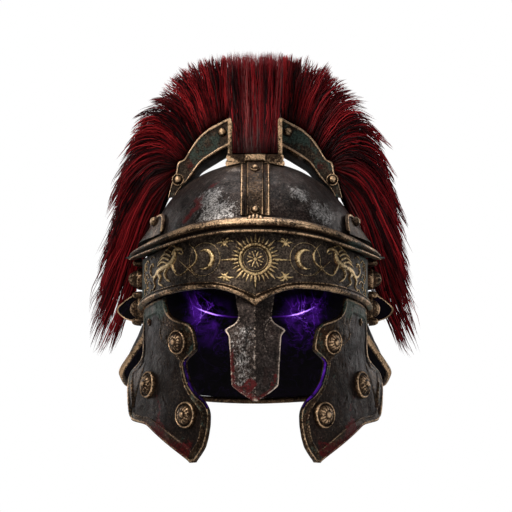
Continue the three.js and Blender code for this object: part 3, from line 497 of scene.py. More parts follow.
def hair_finish():
    """Crimson bristle: a tone for each strand, darker at the root as painted shade inside the brush, lighter towards
    the tips, some strands dusty.
    """
    m, nt, shader = tree("crimson_bristle")
    tone, along, dust = attribute(nt, "tone"), attribute(nt, "along"), attribute(nt, "dust")
    colour = mix(nt, ramp(nt, tone, 0.15, 0.6), (0.014, 0.001, 0.002), (0.2, 0.005, 0.009))
    colour = mix(nt, ramp(nt, tone, 0.62, 0.98), colour, (0.62, 0.03, 0.036))
    # painted shade: darker towards the root, deep inside the brush
    colour = mix(nt, ramp(nt, along, 0.0, 0.4, (0.8, 0.0)), colour, (0.01, 0.001, 0.001))
    colour = mix(nt, ramp(nt, along, 0.75, 1.0, (0.0, 0.35)), colour, (0.3, 0.008, 0.014))
    colour = mix(nt, dust, colour, (0.3, 0.24, 0.22))
    put(nt, shader.inputs["Base Color"], colour)
    shader.inputs["Roughness"].default_value = 0.5
    shader.inputs["Specular IOR Level"].default_value = 0.14
    return m


HAIR = hair_finish()


# very dark streaked material for the sheets of painted shade inside the brushes
def bristle_shade_material():
    m, nt, shader = tree("bristle_shade_sheet")
    streak = noise(nt, place(nt, (1, 1, 0.35)), 420, 4, 0.7)
    put(nt, shader.inputs["Base Color"], mix(nt, ramp(nt, streak, 0.35, 0.7), (0.01, 0.0008, 0.001), (0.06, 0.0014, 0.0025)))
    shader.inputs["Roughness"].default_value = 0.8
    put(nt, shader.inputs["Normal"], bump(nt, streak, 0.7, 0.002))
    return m


HAIR_SHADE = bristle_shade_material()


# ---------------------------------------------------------------- bowl
def share(at, z):
    at, z = np.abs(np.asarray(at, float)), np.asarray(z, float)
    up = np.sqrt(np.clip(1 - (np.maximum(z, 0) / C) ** 2, 0, 1))
    t = np.clip((FLARE_TOP - z) / FLARE_DROP, 0, 1.2)
    return np.where(z >= 0, up, 1 + FLARE * step(96, 112, at) * t ** 1.05)


def shell(at, out, z):
    k, a = share(at, z), np.radians(at)
    return np.stack([(A * k + out) * np.sin(a), -(B * k + out) * np.cos(a), np.broadcast_to(np.asarray(z, float), np.shape(a + z))], -1)


def dome_normal(P):
    n = np.stack([P[..., 0] / A ** 2, P[..., 1] / B ** 2, np.maximum(P[..., 2], 0) / C ** 2], -1)
    return n / np.linalg.norm(n, axis=-1, keepdims=True)


def bowl():
    cols = 264
    at = np.arange(cols) * 360 / cols
    at = np.where(at > 180, at - 360, at)
    rise = np.radians(np.linspace(88.6, 0, 66))
    down = np.linspace(0, 1, 40)[1:]
    fine = np.linspace(-180, 180, 1441)
    edge = np.interp(np.abs(fine), BOWL_EDGE[:, 0], BOWL_EDGE[:, 1])
    kernel = np.hanning(19)
    edge = np.convolve(np.concatenate([edge[-20:], edge, edge[:20]]), kernel / kernel.sum(), "same")[20:-20]
    low = np.interp(at, fine, edge)

    def skin(inset, rise, down):
        a = np.radians(at)[None]
        top = np.stack([-(A - inset) * np.cos(rise)[:, None] * np.sin(a) * -1, -(B - inset) * np.cos(rise)[:, None] * np.cos(a),
                        (C - inset) * np.sin(rise)[:, None] * np.ones_like(a)], -1)
        z = down[:, None] * low[None]
        bottom = shell(np.broadcast_to(at[None], z.shape), -inset, z)
        return np.concatenate([top, bottom])

    outer = skin(0, rise, down)
    n = outward(normals(outer, True), outer)
    # hammered and dented skin, flatter where other pieces sit on it
    press = cloud(outer, 26, 2, 3) * 0.42 + cloud(outer, 9, 2, 9) * 0.24
    pitting = -0.55 * step(0.72, 0.86, noise3(outer / 3.2, 21)) * step(0.45, 0.65, noise3(outer / 17, 5))
    hits = np.array([[-47, -88, 31], [-30, -101, 33], [-57, -76, 40], [-22, -96, 50], [35, -100, 30], [52, -84, 30], [60, -62, 50], [30, -80, 62], [-70, 20, 52], [0, 96, 40], [-40, 90, 10], [55, 85, 20]], float)
    for k, h in enumerate(hits):
        h = h / math.sqrt((h[0] / A) ** 2 + (h[1] / B) ** 2 + (h[2] / C) ** 2)
        d = np.linalg.norm(outer - h, axis=-1)
        press = press - (0.9 + 0.3 * (k % 3)) * np.exp(-(d / (4.0 + 1.6 * (k % 4))) ** 2)
    free = 1 - 0.7 * (step(16, 8, np.abs(outer[..., 0])) * step(0, -20, outer[..., 1]))
    outer = outer + n * ((press + pitting) * free)[..., None]
    inner = skin(WALL, np.radians(np.linspace(84, 0, 13)), np.linspace(0, 1, 15)[1:])
    inner = inner[::-1]
    rings = np.concatenate([outer, inner])
    V = np.concatenate([rings.reshape(-1, 3), [[0, 0, C], [0, 0, C - WALL]]])
    q = grid_quads(len(rings), cols, 0, True)
    i = np.arange(cols)
    j = (i + 1) % cols
    top, last = len(rings) * cols, (len(rings) - 1) * cols
    t = np.concatenate([np.stack([np.full(cols, top), j, i], -1), np.stack([np.full(cols, top + 1), last + i, last + j], -1)])
    inside = np.zeros(len(q) + len(t), int)
    inside[(len(outer) - 0) * cols:len(q)] = 1
    inside[len(q) + cols:] = 1
    P = V
    # pale glossy patches: the five on the front of the dome are painted highlights standing in for reflections, the
    # three at the back and side are wear
    wear_and_painted_highlight = np.zeros(len(P))
    for c, r in (((-30, -104, 22), 24), ((-38, -92, 36), 20), ((52, -84, 26), 20), ((38, -92, 42), 14), ((-14, -70, 66), 12), ((-60, 70, 40), 26), ((40, 90, 40), 26), ((70, 20, 55), 20)):
        wear_and_painted_highlight = np.maximum(wear_and_painted_highlight, np.exp(-(np.linalg.norm((P - c) / [1, 1, 0.8], axis=1) / r) ** 2))
    stain = np.zeros(len(P))
    for line, r in (([(-44, -88, 42), (-47, -90, 32), (-52, -88, 24), (-57, -86, 19)], 3.6), ([(-49, -84, 38), (-44, -93, 30)], 3.0), ([(-28, -86, 58), (-33, -85, 52), (-37, -84, 48)], 2.6),
                    ([(-22, -92, 50), (-25, -92, 48)], 2.2), ([(30, -78, 66), (33, -80, 60)], 2.0), ([(60, 80, 20), (64, 80, 0)], 4)):
        stain = np.maximum(stain, 1.15 * np.exp(-(polyline_distance(P, line) / (1.5 * r)) ** 2))
    rim = np.zeros(len(P))
    # painted glowing light: emission mask for the inner wall, strongest behind the eyes and faint elsewhere
    painted_glowing = np.zeros(len(P))
    for c, r in (((-44, 96, -22), 30), ((44, 96, -22), 30), ((-40, 100, -62), 26), ((40, 100, -62), 26)):
        painted_glowing = np.maximum(painted_glowing, np.exp(-(np.linalg.norm(P - c, axis=1) / r) ** 2))
    painted_glowing = painted_glowing + 0.12
    patina = 0.6 * step(-20, -90, P[:, 2]) * (noise3(P / 20, 44) - 0.2)
    piece("bowl_skin", V, q, t, mats=(STEEL, GLOWING_INTERIOR), index=inside, slot="steel", stands_for=("bowl",),
          attrs={"wear_and_painted_highlight": wear_and_painted_highlight, "stain": stain, "edge": rim, "painted_glowing": painted_glowing, "patina": np.clip(patina, 0, 1)})


bowl()


def neck_rim():
    at = np.concatenate([np.linspace(95.5, 180, 122), np.linspace(180, 264.5, 122)[1:]])
    side = np.where(at > 180, at - 360, at)
    edge = np.interp(np.abs(side), BOWL_EDGE[:, 0], BOWL_EDGE[:, 1])
    kernel = np.hanning(9)
    edge = np.convolve(np.pad(edge, 8, mode="edge"), kernel / kernel.sum(), "same")[8:-8]
    middle = shell(side, 0.5, edge)
    middle[:, 2] -= 2.6
    out = np.stack([np.sin(np.radians(side)), -np.cos(np.radians(side)), 0 * side], -1)
    turn = np.arange(14) * 2 * math.pi / 14
    wob = 1 + 0.06 * cloud(middle, 12, 2, 61)
    rings = middle[:, None] + (2.7 * wob)[:, None, None] * (out[:, None] * np.cos(turn)[None, :, None] + np.array([0, 0, 1.0])[None, None] * np.sin(turn)[None, :, None])
    V, q, t = sweep(rings)
    edge_mark = np.concatenate([np.broadcast_to(np.clip(np.cos(turn + 0.7), 0, 1), (len(at), 14)).ravel(), [0, 0]])
    piece("neck_guard_rim", V, q, t, mats=(BRONZE,), slot="bronze", stands_for=("neck_rim",), attrs={"edge": edge_mark})


neck_rim()


# ---------------------------------------------------------------- brow plate with its relief
def table(rows, at, column=1):
    return np.interp(np.abs(at), rows[:, 0], rows[:, column])


def brow_plate():
    at = np.linspace(-82, 82, 300)
    rows = np.linspace(0, 1, 34)[:, None]
    top, low = 3.5 + table(BROW_DIP, at)[None], table(PLATE_EDGE, at)[None]
    z = top + (low - top) * rows
    ph = np.broadcast_to(at[None], z.shape)
    outer = shell(ph, PLATE_OUT, z)
    n = outward(normals(outer), outer)
    outer = outer + n * (cloud(outer, 7, 3, 31) * 0.16 - 0.4 * step(0.74, 0.88, noise3(outer / 2.6, 77)))[..., None]
    V, q = wall(outer, shell(ph, PLATE_OUT - PLATE_WALL, z))
    full = np.concatenate([outer.reshape(-1, 3)] * 2)
    side = step(52, 80, np.abs(np.concatenate([ph.ravel()] * 2)))
    patina = np.clip(side * 0.9 + 0.5 * (noise3(full / 15, 12) - 0.5), 0, 1)
    stain = np.exp(-((full[:, 2] + 36) / 5) ** 2) * (noise3(full / 14, 71) > 0.6) * 0.5
    piece("brow_band", V, q, mats=(PLATE,), slot="engraved", stands_for=("brow_plate",), attrs={"patina": patina, "stain": stain})


brow_plate()

_deg = np.arange(0, 90.05, 0.1)
_arc = np.concatenate([[0], np.cumsum(np.radians(0.1) * np.hypot((A + PLATE_OUT) * np.cos(np.radians(_deg[:-1] + 0.05)), (B + PLATE_OUT) * np.sin(np.radians(_deg[:-1] + 0.05))))])


def on_plate(s, z, out):
    """Point on the brow plate: s millimetres along it from the nose (positive towards -X), at height z, standing out by out."""
    s, z, out = np.broadcast_arrays(np.asarray(s, float), np.asarray(z, float), np.asarray(out, float))
    ph = -np.sign(s) * np.interp(np.abs(s), _arc, _deg)
    P = shell(ph, PLATE_OUT, np.minimum(z, 0))
    P[..., 2] = z
    a = np.radians(ph)
    n = np.stack([np.sin(a) / (A + PLATE_OUT), -np.cos(a) / (B + PLATE_OUT), 0 * a], -1)
    n /= np.linalg.norm(n, axis=-1, keepdims=True)
    return P + n * out[..., None]


class Relief:
    """Raised ornament on the brow plate, gathered into one mesh of closed strokes."""

    def __init__(self):
        self.V, self.Q, self.T, self.edge, self.count = [], [], [], [], 0

    def add(self, V, Q, T, edge):
        self.V.append(V); self.Q.append(np.asarray(Q, int).reshape(-1, 4) + self.count)
        self.T.append(np.asarray(T, int).reshape(-1, 3) + self.count); self.edge.append(edge); self.count += len(V)

    def stroke(self, points, widths, height=0.8, closed=False, samples=None):
        """A ribbon with a rounded back, along a smooth line in the plate's own (s, z)."""
        P = np.asarray(points, float)
        W = np.broadcast_to(np.asarray(widths, float), (len(P),)) if np.ndim(widths) == 0 else np.asarray(widths, float)
        if closed:
            u = np.linspace(0, 1, len(P), endpoint=False)
            line, w = P, W
        else:
            d = np.concatenate([[0], np.cumsum(np.linalg.norm(np.diff(P, axis=0), axis=1))])
            n = samples or max(6, int(d[-1] / 0.9))
            u = np.linspace(0, d[-1], n)
            line = np.stack([hermite(d, list(P[:, 0]), u), hermite(d, list(P[:, 1]), u)], -1) if len(P) > 2 else np.stack([np.interp(u, d, P[:, 0]), np.interp(u, d, P[:, 1])], -1)
            w = np.interp(u, d, W)
        if closed:
            tangent = np.roll(line, -1, 0) - np.roll(line, 1, 0)
        else:
            tangent = np.gradient(line, axis=0)
        tangent /= np.maximum(np.linalg.norm(tangent, axis=1, keepdims=True), 1e-9)
        side = np.stack([-tangent[:, 1], tangent[:, 0]], -1)
        across = np.array([-1, -0.86, -0.45, 0, 0.45, 0.86, 1])
        lift = np.array([-0.25, 0.55, 0.92, 1.0, 0.92, 0.55, -0.25])
        ring_s = line[:, None, 0] + side[:, None, 0] * across[None] * w[:, None]
        ring_z = line[:, None, 1] + side[:, None, 1] * across[None] * w[:, None]
        h = height * np.minimum(1, w / max(float(np.max(w)), 1e-6) + 0.35)
        rings = on_plate(ring_s, ring_z, lift[None] * h[:, None])
        m = len(across)
        mark = np.broadcast_to(np.array([0, 0.3, 0.8, 1, 0.8, 0.3, 0]), (len(line), m))
        if closed:
            n = len(line)
            r = np.arange(n)[:, None]; c = np.arange(m)[None]
            r2, c2 = (r + 1) % n, (c + 1) % m
            Q = np.stack([r * m + c, r * m + c2, r2 * m + c2, r2 * m + c], -1).reshape(-1, 4)
            self.add(rings.reshape(-1, 3), self.out(rings.reshape(-1, 3), Q), [], mark.ravel())
        else:
            V, Q, T = sweep(rings)
            Q, T = self.out2(V, Q, T)
            self.add(V, Q, T, np.concatenate([mark.ravel(), [0, 0]]))

    def out(self, V, Q):
        a, b, c, d = (V[Q[:, k]] for k in range(4))
        m = V.mean(0)
        vol = np.sum(np.einsum("ij,ij->i", a - m, np.cross(b - m, c - m))) + np.sum(np.einsum("ij,ij->i", a - m, np.cross(c - m, d - m)))
        return Q if vol > 0 else Q[:, ::-1]

    def out2(self, V, Q, T):
        m = V.mean(0)
        vol = 0
        for f in (Q[:, [0, 1, 2]], Q[:, [0, 2, 3]], T):
            a, b, c = V[f[:, 0]] - m, V[f[:, 1]] - m, V[f[:, 2]] - m
            vol += np.sum(np.einsum("ij,ij->i", a, np.cross(b, c)))
        return (Q, T) if vol > 0 else (Q[:, ::-1], T[:, ::-1])

    def blade(self, base, tip, width, height=0.8):
        """A pointed ray, widest a third of the way along, with a sharp spine."""
        base, tip = np.asarray(base, float), np.asarray(tip, float)
        P = [base + (tip - base) * t for t in (0, 0.12, 0.3, 0.6, 0.85, 1)]
        self.stroke(P, np.array([0.55, 0.95, 1, 0.62, 0.28, 0.06]) * width, height, samples=12)

    def moon(self, centre, radius, inner, shift, height=0.9):
        """A crescent, its full side towards +s times the sign of shift."""
        cs, cz = centre
        t = np.linspace(-1, 1, 34)
        half = math.radians(128)
        a = t * half
        outer = np.stack([cs - np.sign(shift) * radius * np.cos(a), cz + radius * np.sin(a)], -1)
        # width from the outer arc to the inner circle
        ci = cs + shift
        w = []
        for p in outer:
            d = np.array([ci, cz]) - p
            w.append(max(0.12, np.linalg.norm(d) - inner))
        w = np.array(w)
        toward = np.stack([ci - outer[:, 0], cz - outer[:, 1]], -1)
        toward /= np.linalg.norm(toward, axis=1, keepdims=True)
        middle = outer + toward * (w / 2)[:, None]
        across = np.array([-1, -0.86, -0.4, 0, 0.4, 0.86, 1]); lift = np.array([-0.25, 0.6, 0.9, 1, 0.9, 0.6, -0.25])
        s = middle[:, None, 0] + toward[:, None, 0] * across * (w / 2)[:, None]
        z = middle[:, None, 1] + toward[:, None, 1] * across * (w / 2)[:, None]
        rings = on_plate(s, z, lift[None] * (height * np.minimum(1, 0.3 + w / 3))[:, None])
        V, Q, T = sweep(rings)
        Q, T = self.out2(V, Q, T)
        self.add(V, Q, T, np.concatenate([np.broadcast_to([0, 0.3, 0.8, 1, 0.8, 0.3, 0], (len(t), 7)).ravel(), [0, 0]]))

    def ring(self, centre, radius, width, height, n=72, squeeze=1.0):
        a = np.arange(n) * 2 * math.pi / n
        self.stroke(np.stack([centre[0] + radius * squeeze * np.cos(a), centre[1] + radius * np.sin(a)], -1), width, height, closed=True)

    def dot(self, centre, radius, height):
        a = np.arange(12) * 2 * math.pi / 12
        rings = []
        for r, h in ((1, -0.25), (0.95, 0.35), (0.7, 0.8), (0.3, 1.0)):
            rings.append(on_plate(centre[0] + radius * r * np.cos(a), centre[1] + radius * r * np.sin(a), height * h))
        V, Q, T = sweep(rings)
        Q, T = self.out2(V, Q, T)
        self.add(V, Q, T, np.ones(len(V)))

    def make(self, name, **extra):
        V = np.concatenate(self.V)
        return piece(name, V, np.concatenate(self.Q), np.concatenate(self.T), mats=(GILT,), slot="engraved", attrs={"edge": np.concatenate(self.edge) * 0.9}, sharp=60, **extra)


def ornament():
    r = Relief()
    sun = (-0.2, -18.9)
    # sun: ring, rays and a plain rosette
    r.ring(sun, 12.05, 1.6, 1.2)
    r.ring(sun, 9.6, 0.28, 0.5)
    for k in range(8):
        a = k * math.pi / 4
        ray = np.array([math.cos(a), math.sin(a)])
        length = {0: 29.0, 4: 29.0, 2: 21.0, 6: 24.6}.get(k, 22.4)
        r.blade(np.array(sun) + ray * 13.6, np.array(sun) + ray * length, 1.5, 1.1)
    for k in range(32):
        if k % 4 == 0:
            continue
        a = k * math.pi / 16
        ray = np.array([math.cos(a), math.sin(a)])
        reach = 18.8 if k % 4 != 2 else 19.6
        r.blade(np.array(sun) + ray * 13.6, np.array(sun) + ray * (reach + 0.3), 1.15, 0.9)
    for k in range(8):
        a = k * math.pi / 4 + math.pi / 8
        d = np.array([math.cos(a), math.sin(a)])
        r.stroke([np.array(sun) + d * 2.0, np.array(sun) + d * 4.4, np.array(sun) + d * 6.9], [0.35, 1.05, 0.2], 0.7)
        b = k * math.pi / 4
        r.dot((sun[0] + 6.3 * math.cos(b), sun[1] + 6.3 * math.sin(b)), 0.55, 0.5)
    r.dot(sun, 1.5, 0.9)
    for m in (1, -1):
        q = lambda pts: [(m * s, z) for s, z in pts]
        r.moon((m * 41.2, -16.9), 8.8, 6.9, m * 3.7)
        r.ring((m * 42.6, -16.8), 13.4, 0.2, 0.16, squeeze=1.06)
        # curved blade and the line across it
        r.stroke(q([(57.4, -2.6), (52.2, -7.2), (49.6, -13.4), (51.6, -18.8), (57.6, -22.6), (63.0, -25.6), (68.6, -26.8), (73.0, -24.2), (76, -18.6)]),
                 [0.15, 0.75, 1.15, 1.0, 0.7, 0.6, 0.65, 0.8, 0.9], 0.85)
        r.stroke(q([(68.2, -14.8), (59, -22.0), (48.6, -31.2)]), [0.15, 0.65, 0.12], 0.7)
        r.stroke(q([(56.4, -19.6), (60.6, -24.4)]), [0.4, 0.4], 0.6)
        # beast: head, neck, body, legs, tail, wing
        r.stroke(q([(63.6, -9.6), (65.0, -6.2), (69.6, -4.6), (74.6, -5.6), (77.5, -8.6)]), [0.35, 1.3, 1.9, 1.6, 1.2], 1.1)
        r.stroke(q([(63.8, -9.6), (66.4, -9.4), (68.6, -8.2)]), [0.25, 0.6, 0.8], 0.8)
        r.stroke(q([(73.5, -6.5), (74.2, -10.5), (77.5, -14.4), (84, -16.8), (92, -17.6), (99.5, -19.4), (103.5, -22.6)]), [1.9, 2.8, 3.4, 3.2, 2.8, 3.0, 2.0], 1.25)
        r.stroke(q([(78, -15.5), (75.4, -20.4), (72.2, -23.8)]), [2.2, 1.5, 1.1], 1.0)
        r.stroke(q([(83.8, -17.5), (87.6, -22.6), (84.8, -27.4), (80.6, -29.6)]), [2.2, 1.6, 1.1, 1.2], 1.0)
        r.stroke(q([(80.6, -29.6), (78.2, -31.2)]), [0.7, 0.25], 0.8)
        r.stroke(q([(99, -20.4), (94.6, -24.6), (97, -28.6), (92.4, -31.4)]), [2.6, 1.8, 1.1, 1.1], 1.0)
        r.stroke(q([(92.4, -31.4), (89.4, -32.6)]), [0.7, 0.25], 0.8)
        r.stroke(q([(102.5, -21), (106.6, -25.4), (104.4, -30), (108.4, -33.2)]), [2.2, 1.5, 1.1, 1.1], 1.0)
        r.stroke(q([(103, -21.5), (109, -21.6), (114.6, -17), (113.5, -11.5), (108.6, -10.6), (107.8, -14)]), [1.5, 1.3, 1.2, 1.1, 1.0, 0.4], 0.9)
        for k, (s0, z0, s1, z1, s2, z2) in enumerate(((78, -6, 84, -4.4, 91, -6.2), (79, -9, 87, -7.2, 96, -8.8), (81, -12, 89.5, -10.2, 99, -11.8), (84, -14.4, 92, -13.2, 101, -14.6), (71, -3.6, 78, -1.8, 84.6, -3.4))):
            r.stroke(q([(s0, z0), (s1, z1 + 1.2), (s2, z2)]), [1.15, 1.3, 0.3], 0.8)
        # leaf scrolls behind the beast
        for pts, w in ((((112, -27), (117, -23.6), (122.6, -25), (123.6, -29.6), (119.6, -31.2)), 0.7), (((111, -31.5), (116.5, -34.4), (122.5, -34), (128, -30.2)), 0.6),
                       (((118, -20.8), (123, -16.8), (128.4, -18.6), (128.6, -23), (125, -24)), 0.7), (((117, -8), (122.4, -5.4), (128.4, -8.4), (127.6, -12.8), (123, -12.6)), 0.7),
                       (((104, -6.4), (110, -4), (115.8, -6)), 0.5), (((130.6, -27.6), (133.4, -33.5)), 0.5), (((131, -6), (134, -14), (132, -20)), 0.5)):
            r.stroke(q(pts), [w] * (len(pts) - 1) + [0.15], 0.75)
        for s, z in ((120.8, -28.4), (126, -21), (124.4, -9.8)):
            r.dot((m * s, z), 0.85, 0.8)
        # small sprays of leaves beside the sun
        for (s, z), flip in (((24.6, -5.8), 1), ((24.2, -31.4), -1)):
            for da, db, w in ((-7.4, 1.6, 0.75), (-4.0, 4.2, 0.8), (2.2, 3.6, 0.8), (6.6, 0.8, 0.75), (-3.0, -2.8, 0.6), (3.4, -2.2, 0.6)):
                mid = (s + da * 0.5, z + flip * (db * 0.75 + 0.9))
                r.stroke(q([(s, z), mid, (s + da, z + flip * db)]), [0.9, w * 1.6, 0.2], 0.75)
            r.dot((m * s, z), 1.7, 0.9)
    r.make("brow_relief")


ornament()


def fin():
    """Small shell-shaped ornament standing on the upper rim at the nose."""
    x = np.linspace(-8.6, 8.6, 61)
    v = np.linspace(0, 1, 18)[:, None]
    top = 4.3 * np.cos(np.clip(x / 8.6, -1, 1) * math.pi / 2) ** 0.8
    k = np.abs(np.sin(x * 1.02))
    y = -np.sqrt(1 - (x / 105.0) ** 2) * (B + 11.0) + 3.0 * v ** 1.5
    face = np.stack([np.broadcast_to(x[None], y.shape), y - 0.7 * k[None] * np.sqrt(np.clip(v * (1.08 - v) * 4, 0, 1)), 12.2 + (top * (0.86 + 0.14 * k))[None] * v], -1)
    back = np.stack([face[..., 0], y + 3.2, face[..., 2] - 0.2], -1)
    V, q = wall(face, back)
    mark = np.clip(k[None] * np.ones_like(v) * 1.1 - 0.1, 0, 1).ravel()
    # the furrows between the fin's ribs get painted shade, the ribs wear and painted highlight
    piece("brow_fin", V, q, mats=(BRONZE,), sharp=60, attrs={"edge": np.concatenate([mark, mark * 0.5]), "painted_shade": np.concatenate([np.clip(0.5 - mark, 0, 1), mark * 0])})


def rims():
    round_ = lambda at, out, z: np.stack([(A + out) * np.sin(np.radians(at)), -(B + out) * np.cos(np.radians(at)), z], -1)
    # upper rim: two rolls with a groove between them
    section = np.array([[-0.6, 15.6, 0.0], [2, 15.8, 0.1], [4.6, 15.4, 0.3], [7.2, 14.6, 0.5], [9.3, 13.4, 0.8], [11.2, 11.9, 1], [12.6, 10.4, 1], [13.2, 8.8, 0.9], [12.9, 7.4, 0.3], [11.6, 6.3, -0.7], [9.8, 5.6, -1],
                        [9.4, 4.6, -1], [10.2, 3.7, -0.9], [12.6, 3.3, 0.5], [13.9, 2.6, 1], [14.0, 1.6, 1], [13.0, 0.9, 0.4], [11.2, 0.9, -0.2], [9, 1.9, -0.4], [6.6, 3.2, -0.5], [4.4, 4.3, -0.6], [1, 4.6, -0.6], [-0.4, 8, 0]])
    at = np.linspace(-90.4, 90.4, 460)
    dip = np.interp(np.abs(at), BROW_DIP[:, 0], BROW_DIP[:, 1])
    kernel = np.hanning(61); dip = np.convolve(np.pad(dip, 60, mode="edge"), kernel / kernel.sum(), "same")[60:-60]
    tip = step(90.5, 80, np.abs(at))
    out = section[None, :, 0] * (0.35 + 0.65 * tip[:, None] ** 0.5) + 0.3
    thin = 1 - 0.3 * step(35, 80, np.abs(at))
    z = 8.0 + (section[None, :, 1] - 8.0) * ((0.45 + 0.55 * tip) * thin)[:, None] + dip[:, None]
    blunt = step(74, 88, np.abs(at))[:, None] * np.isin(np.arange(len(section)), (9, 10, 11, 12))[None]
    out = out + (12.4 - out) * blunt * 0.85
    P = round_(np.broadcast_to(at[:, None], out.shape), out + 1.2 * (1 - tip[:, None]) * 6, z)
    P = P + (cloud(P, 9, 2, 51) * 0.14)[..., None] * np.array([0.6, 0.6, 0.6])
    V, q, t = sweep(P)
    mark = np.concatenate([np.broadcast_to(section[:, 2], out.shape).ravel(), [0, 0]])
    full = np.concatenate([P.reshape(-1, 3), [[0, 0, 0], [0, 0, 0]]])
    green = np.clip(step(30, 62, np.abs(np.concatenate([np.repeat(at, len(section)), [0, 0]]))) * (0.9 - 0.5 * np.clip(mark, 0, 1)) * (noise3(full / 16, 8) * 1.9 - 0.35), 0, 1)
    # the groove between the rolls gets painted shade, the roll tops wear and painted highlight
    piece("brow_moulding_upper", V, q, t, mats=(BRONZE,), stands_for=("brow_rim_upper",), sharp=70,
          attrs={"edge": np.clip(mark, 0, 1) * 0.72, "painted_shade": np.clip(-mark, 0, 1), "patina": green})
    fin()
    # lower rim: one rounded bead with a fine upper lip
    at = np.linspace(-82, 82, 520)
    top, low = table(LOWER_RIM, at, 1), table(LOWER_RIM, at, 2)
    o = PLATE_OUT + 0.35
    prof = np.array([[0, 0.0, 0], [1.0, 0.02, 0.4], [1.7, 0.08, 1], [1.8, 0.17, 0.8], [1.3, 0.25, -0.8], [1.9, 0.33, 0.1], [2.9, 0.45, 0.6], [3.4, 0.6, 1], [3.3, 0.76, 1], [2.6, 0.9, 0.9], [1.4, 0.99, 0.6], [0, 1.0, 0.2]])
    out = o + prof[None, :, 0] + 0 * at[:, None]
    z = top[:, None] + (low - top)[:, None] * prof[None, :, 1]
    P = round_(np.broadcast_to(at[:, None], out.shape), out, z)
    P = P + (cloud(P, 8, 2, 52) * 0.12)[..., None] * np.array([0.6, 0.6, 0.6])
    V, q, t = sweep(P)
    mark = np.concatenate([np.broadcast_to(prof[:, 2], out.shape).ravel(), [0, 0]])
    aa = np.concatenate([np.repeat(at, len(prof)), [0, 0]])
    full = np.concatenate([P.reshape(-1, 3), [[0, 0, 0], [0, 0, 0]]])
    stain = 0.75 * (np.exp(-((np.abs(aa) - 30) / 12) ** 2) + np.exp(-((aa - 3) / 4) ** 2)) * np.clip(noise3(full / 7, 91) * 1.5 - 0.4, 0, 1)
    green = np.clip(step(45, 75, np.abs(aa)) * noise3(full / 14, 18) * 1.5, 0, 1)
    # the groove above the bead gets painted shade
    piece("brow_moulding_lower", V, q, t, mats=(BRONZE,), stands_for=("brow_rim_lower",), sharp=70,
          attrs={"edge": np.clip(mark, 0, 1) * 0.66, "painted_shade": np.clip(-mark, 0, 1), "stain": stain, "patina": green})


rims()


# ---------------------------------------------------------------- nasal guard
def nasal():
    z = np.linspace(-43, -132.5, 140)
    half = np.interp(-z, -NASAL[:, 0], NASAL[:, 1])
    yy = np.interp(-z, -NASAL[:, 0], NASAL[:, 2])
    kernel = np.hanning(7); half = np.convolve(np.pad(half, 6, mode="edge"), kernel / kernel.sum(), "same")[6:-6]
    kernel = np.hanning(17); yy = np.convolve(np.pad(yy, 16, mode="edge"), kernel / kernel.sum(), "same")[16:-16]
    u = np.linspace(-1, 1, 65)
    x = half[:, None] * u[None]
    zz = np.broadcast_to(z[:, None], x.shape).copy()
    y = yy[:, None] + 0.42 * (np.sqrt(x ** 2 + 0.9) - 0.95)
    P = np.stack([x, y, zz], -1)
    flat = np.stack([x, zz], -1)
    outline = np.concatenate([np.stack([-half, z], -1), np.stack([half, z], -1)[::-1]])
    d = polyline_distance(flat[::1], outline[::2])
    lip = 0.75 * step(2.3, 1.3, d) * step(-58, -66, zz)
    groove = np.zeros_like(d)
    for m in (-1, 1):
        arc = [(m * 12.2, -66.5), (m * 8.4, -70.5), (m * 6.6, -78), (m * 7.4, -87), (m * 9.8, -92.5)]
        groove = np.maximum(groove, np.exp(-(polyline_distance(flat, arc) / 0.55) ** 2))
    hurt = cloud(P, 8, 3, 41) * 0.22 - 0.5 * step(0.72, 0.86, noise3(P / 2.8, 12)) * step(0.4, 0.6, noise3(P / 12, 2))
    push = lip - 0.55 * groove + hurt
    n = normals(P)
    n = n if n[..., 1].mean() < 0 else -n
    outer = P + n * push[..., None]
    back = P - n * 2.4
    V, q = wall(outer, back)
    one = lambda f: np.concatenate([f.ravel(), 0 * f.ravel()])
    edge = np.clip(step(1.8, 0.4, d) * (0.4 + 0.5 * step(-64, -72, zz)) + 0.55 * np.exp(-(x / 1.1) ** 2) + 0.45 * np.exp(-((polyline_distance(flat, [(-12.2, -66.5), (-8.4, -70.5), (-6.6, -78), (-7.4, -87), (-9.8, -92.5)]) - 1.1) / 0.5) ** 2)
                   + 0.45 * np.exp(-((polyline_distance(flat, [(12.2, -66.5), (8.4, -70.5), (6.6, -78), (7.4, -87), (9.8, -92.5)]) - 1.1) / 0.5) ** 2), 0, 1)
    stain = np.clip(np.exp(-(polyline_distance(flat, [(-19, -92), (-18, -110), (-16, -121), (-8, -126), (-4, -118)]) / 4.5) ** 2)
                    + np.exp(-(polyline_distance(flat, [(-3, -120), (-9, -126), (-2, -131)]) / 5) ** 2) + 0.9 * np.exp(-(polyline_distance(flat, [(16, -112), (12, -124), (4, -130)]) / 3.2) ** 2), 0, 1)
    # the left half gets more of the pale patch, a painted highlight on the side the key light falls on; the bands near
    # the sides are wear
    wear_and_painted_highlight = 0.12 + 0.36 * (x < 0) * step(-66, -75, zz) + 0.2 * np.exp(-((np.abs(x) - 11) / 5) ** 2) * step(-66, -75, zz)
    inside = np.zeros(len(q), int)
    inside[(len(z) - 1) * (len(u) - 1):2 * (len(z) - 1) * (len(u) - 1)] = 1
    # the engraved grooves get painted shade; the back faces take the interior material with faint painted glowing light
    piece("nose_guard", V, q, mats=(STEEL, GLOWING_INTERIOR), index=inside, slot="steel", stands_for=("nasal",), sharp=55,
          attrs={"edge": one(edge), "stain": one(stain), "wear_and_painted_highlight": one(wear_and_painted_highlight), "painted_shade": one(groove * 0.8), "painted_glowing": np.full(len(V), 0.1)})


nasal()


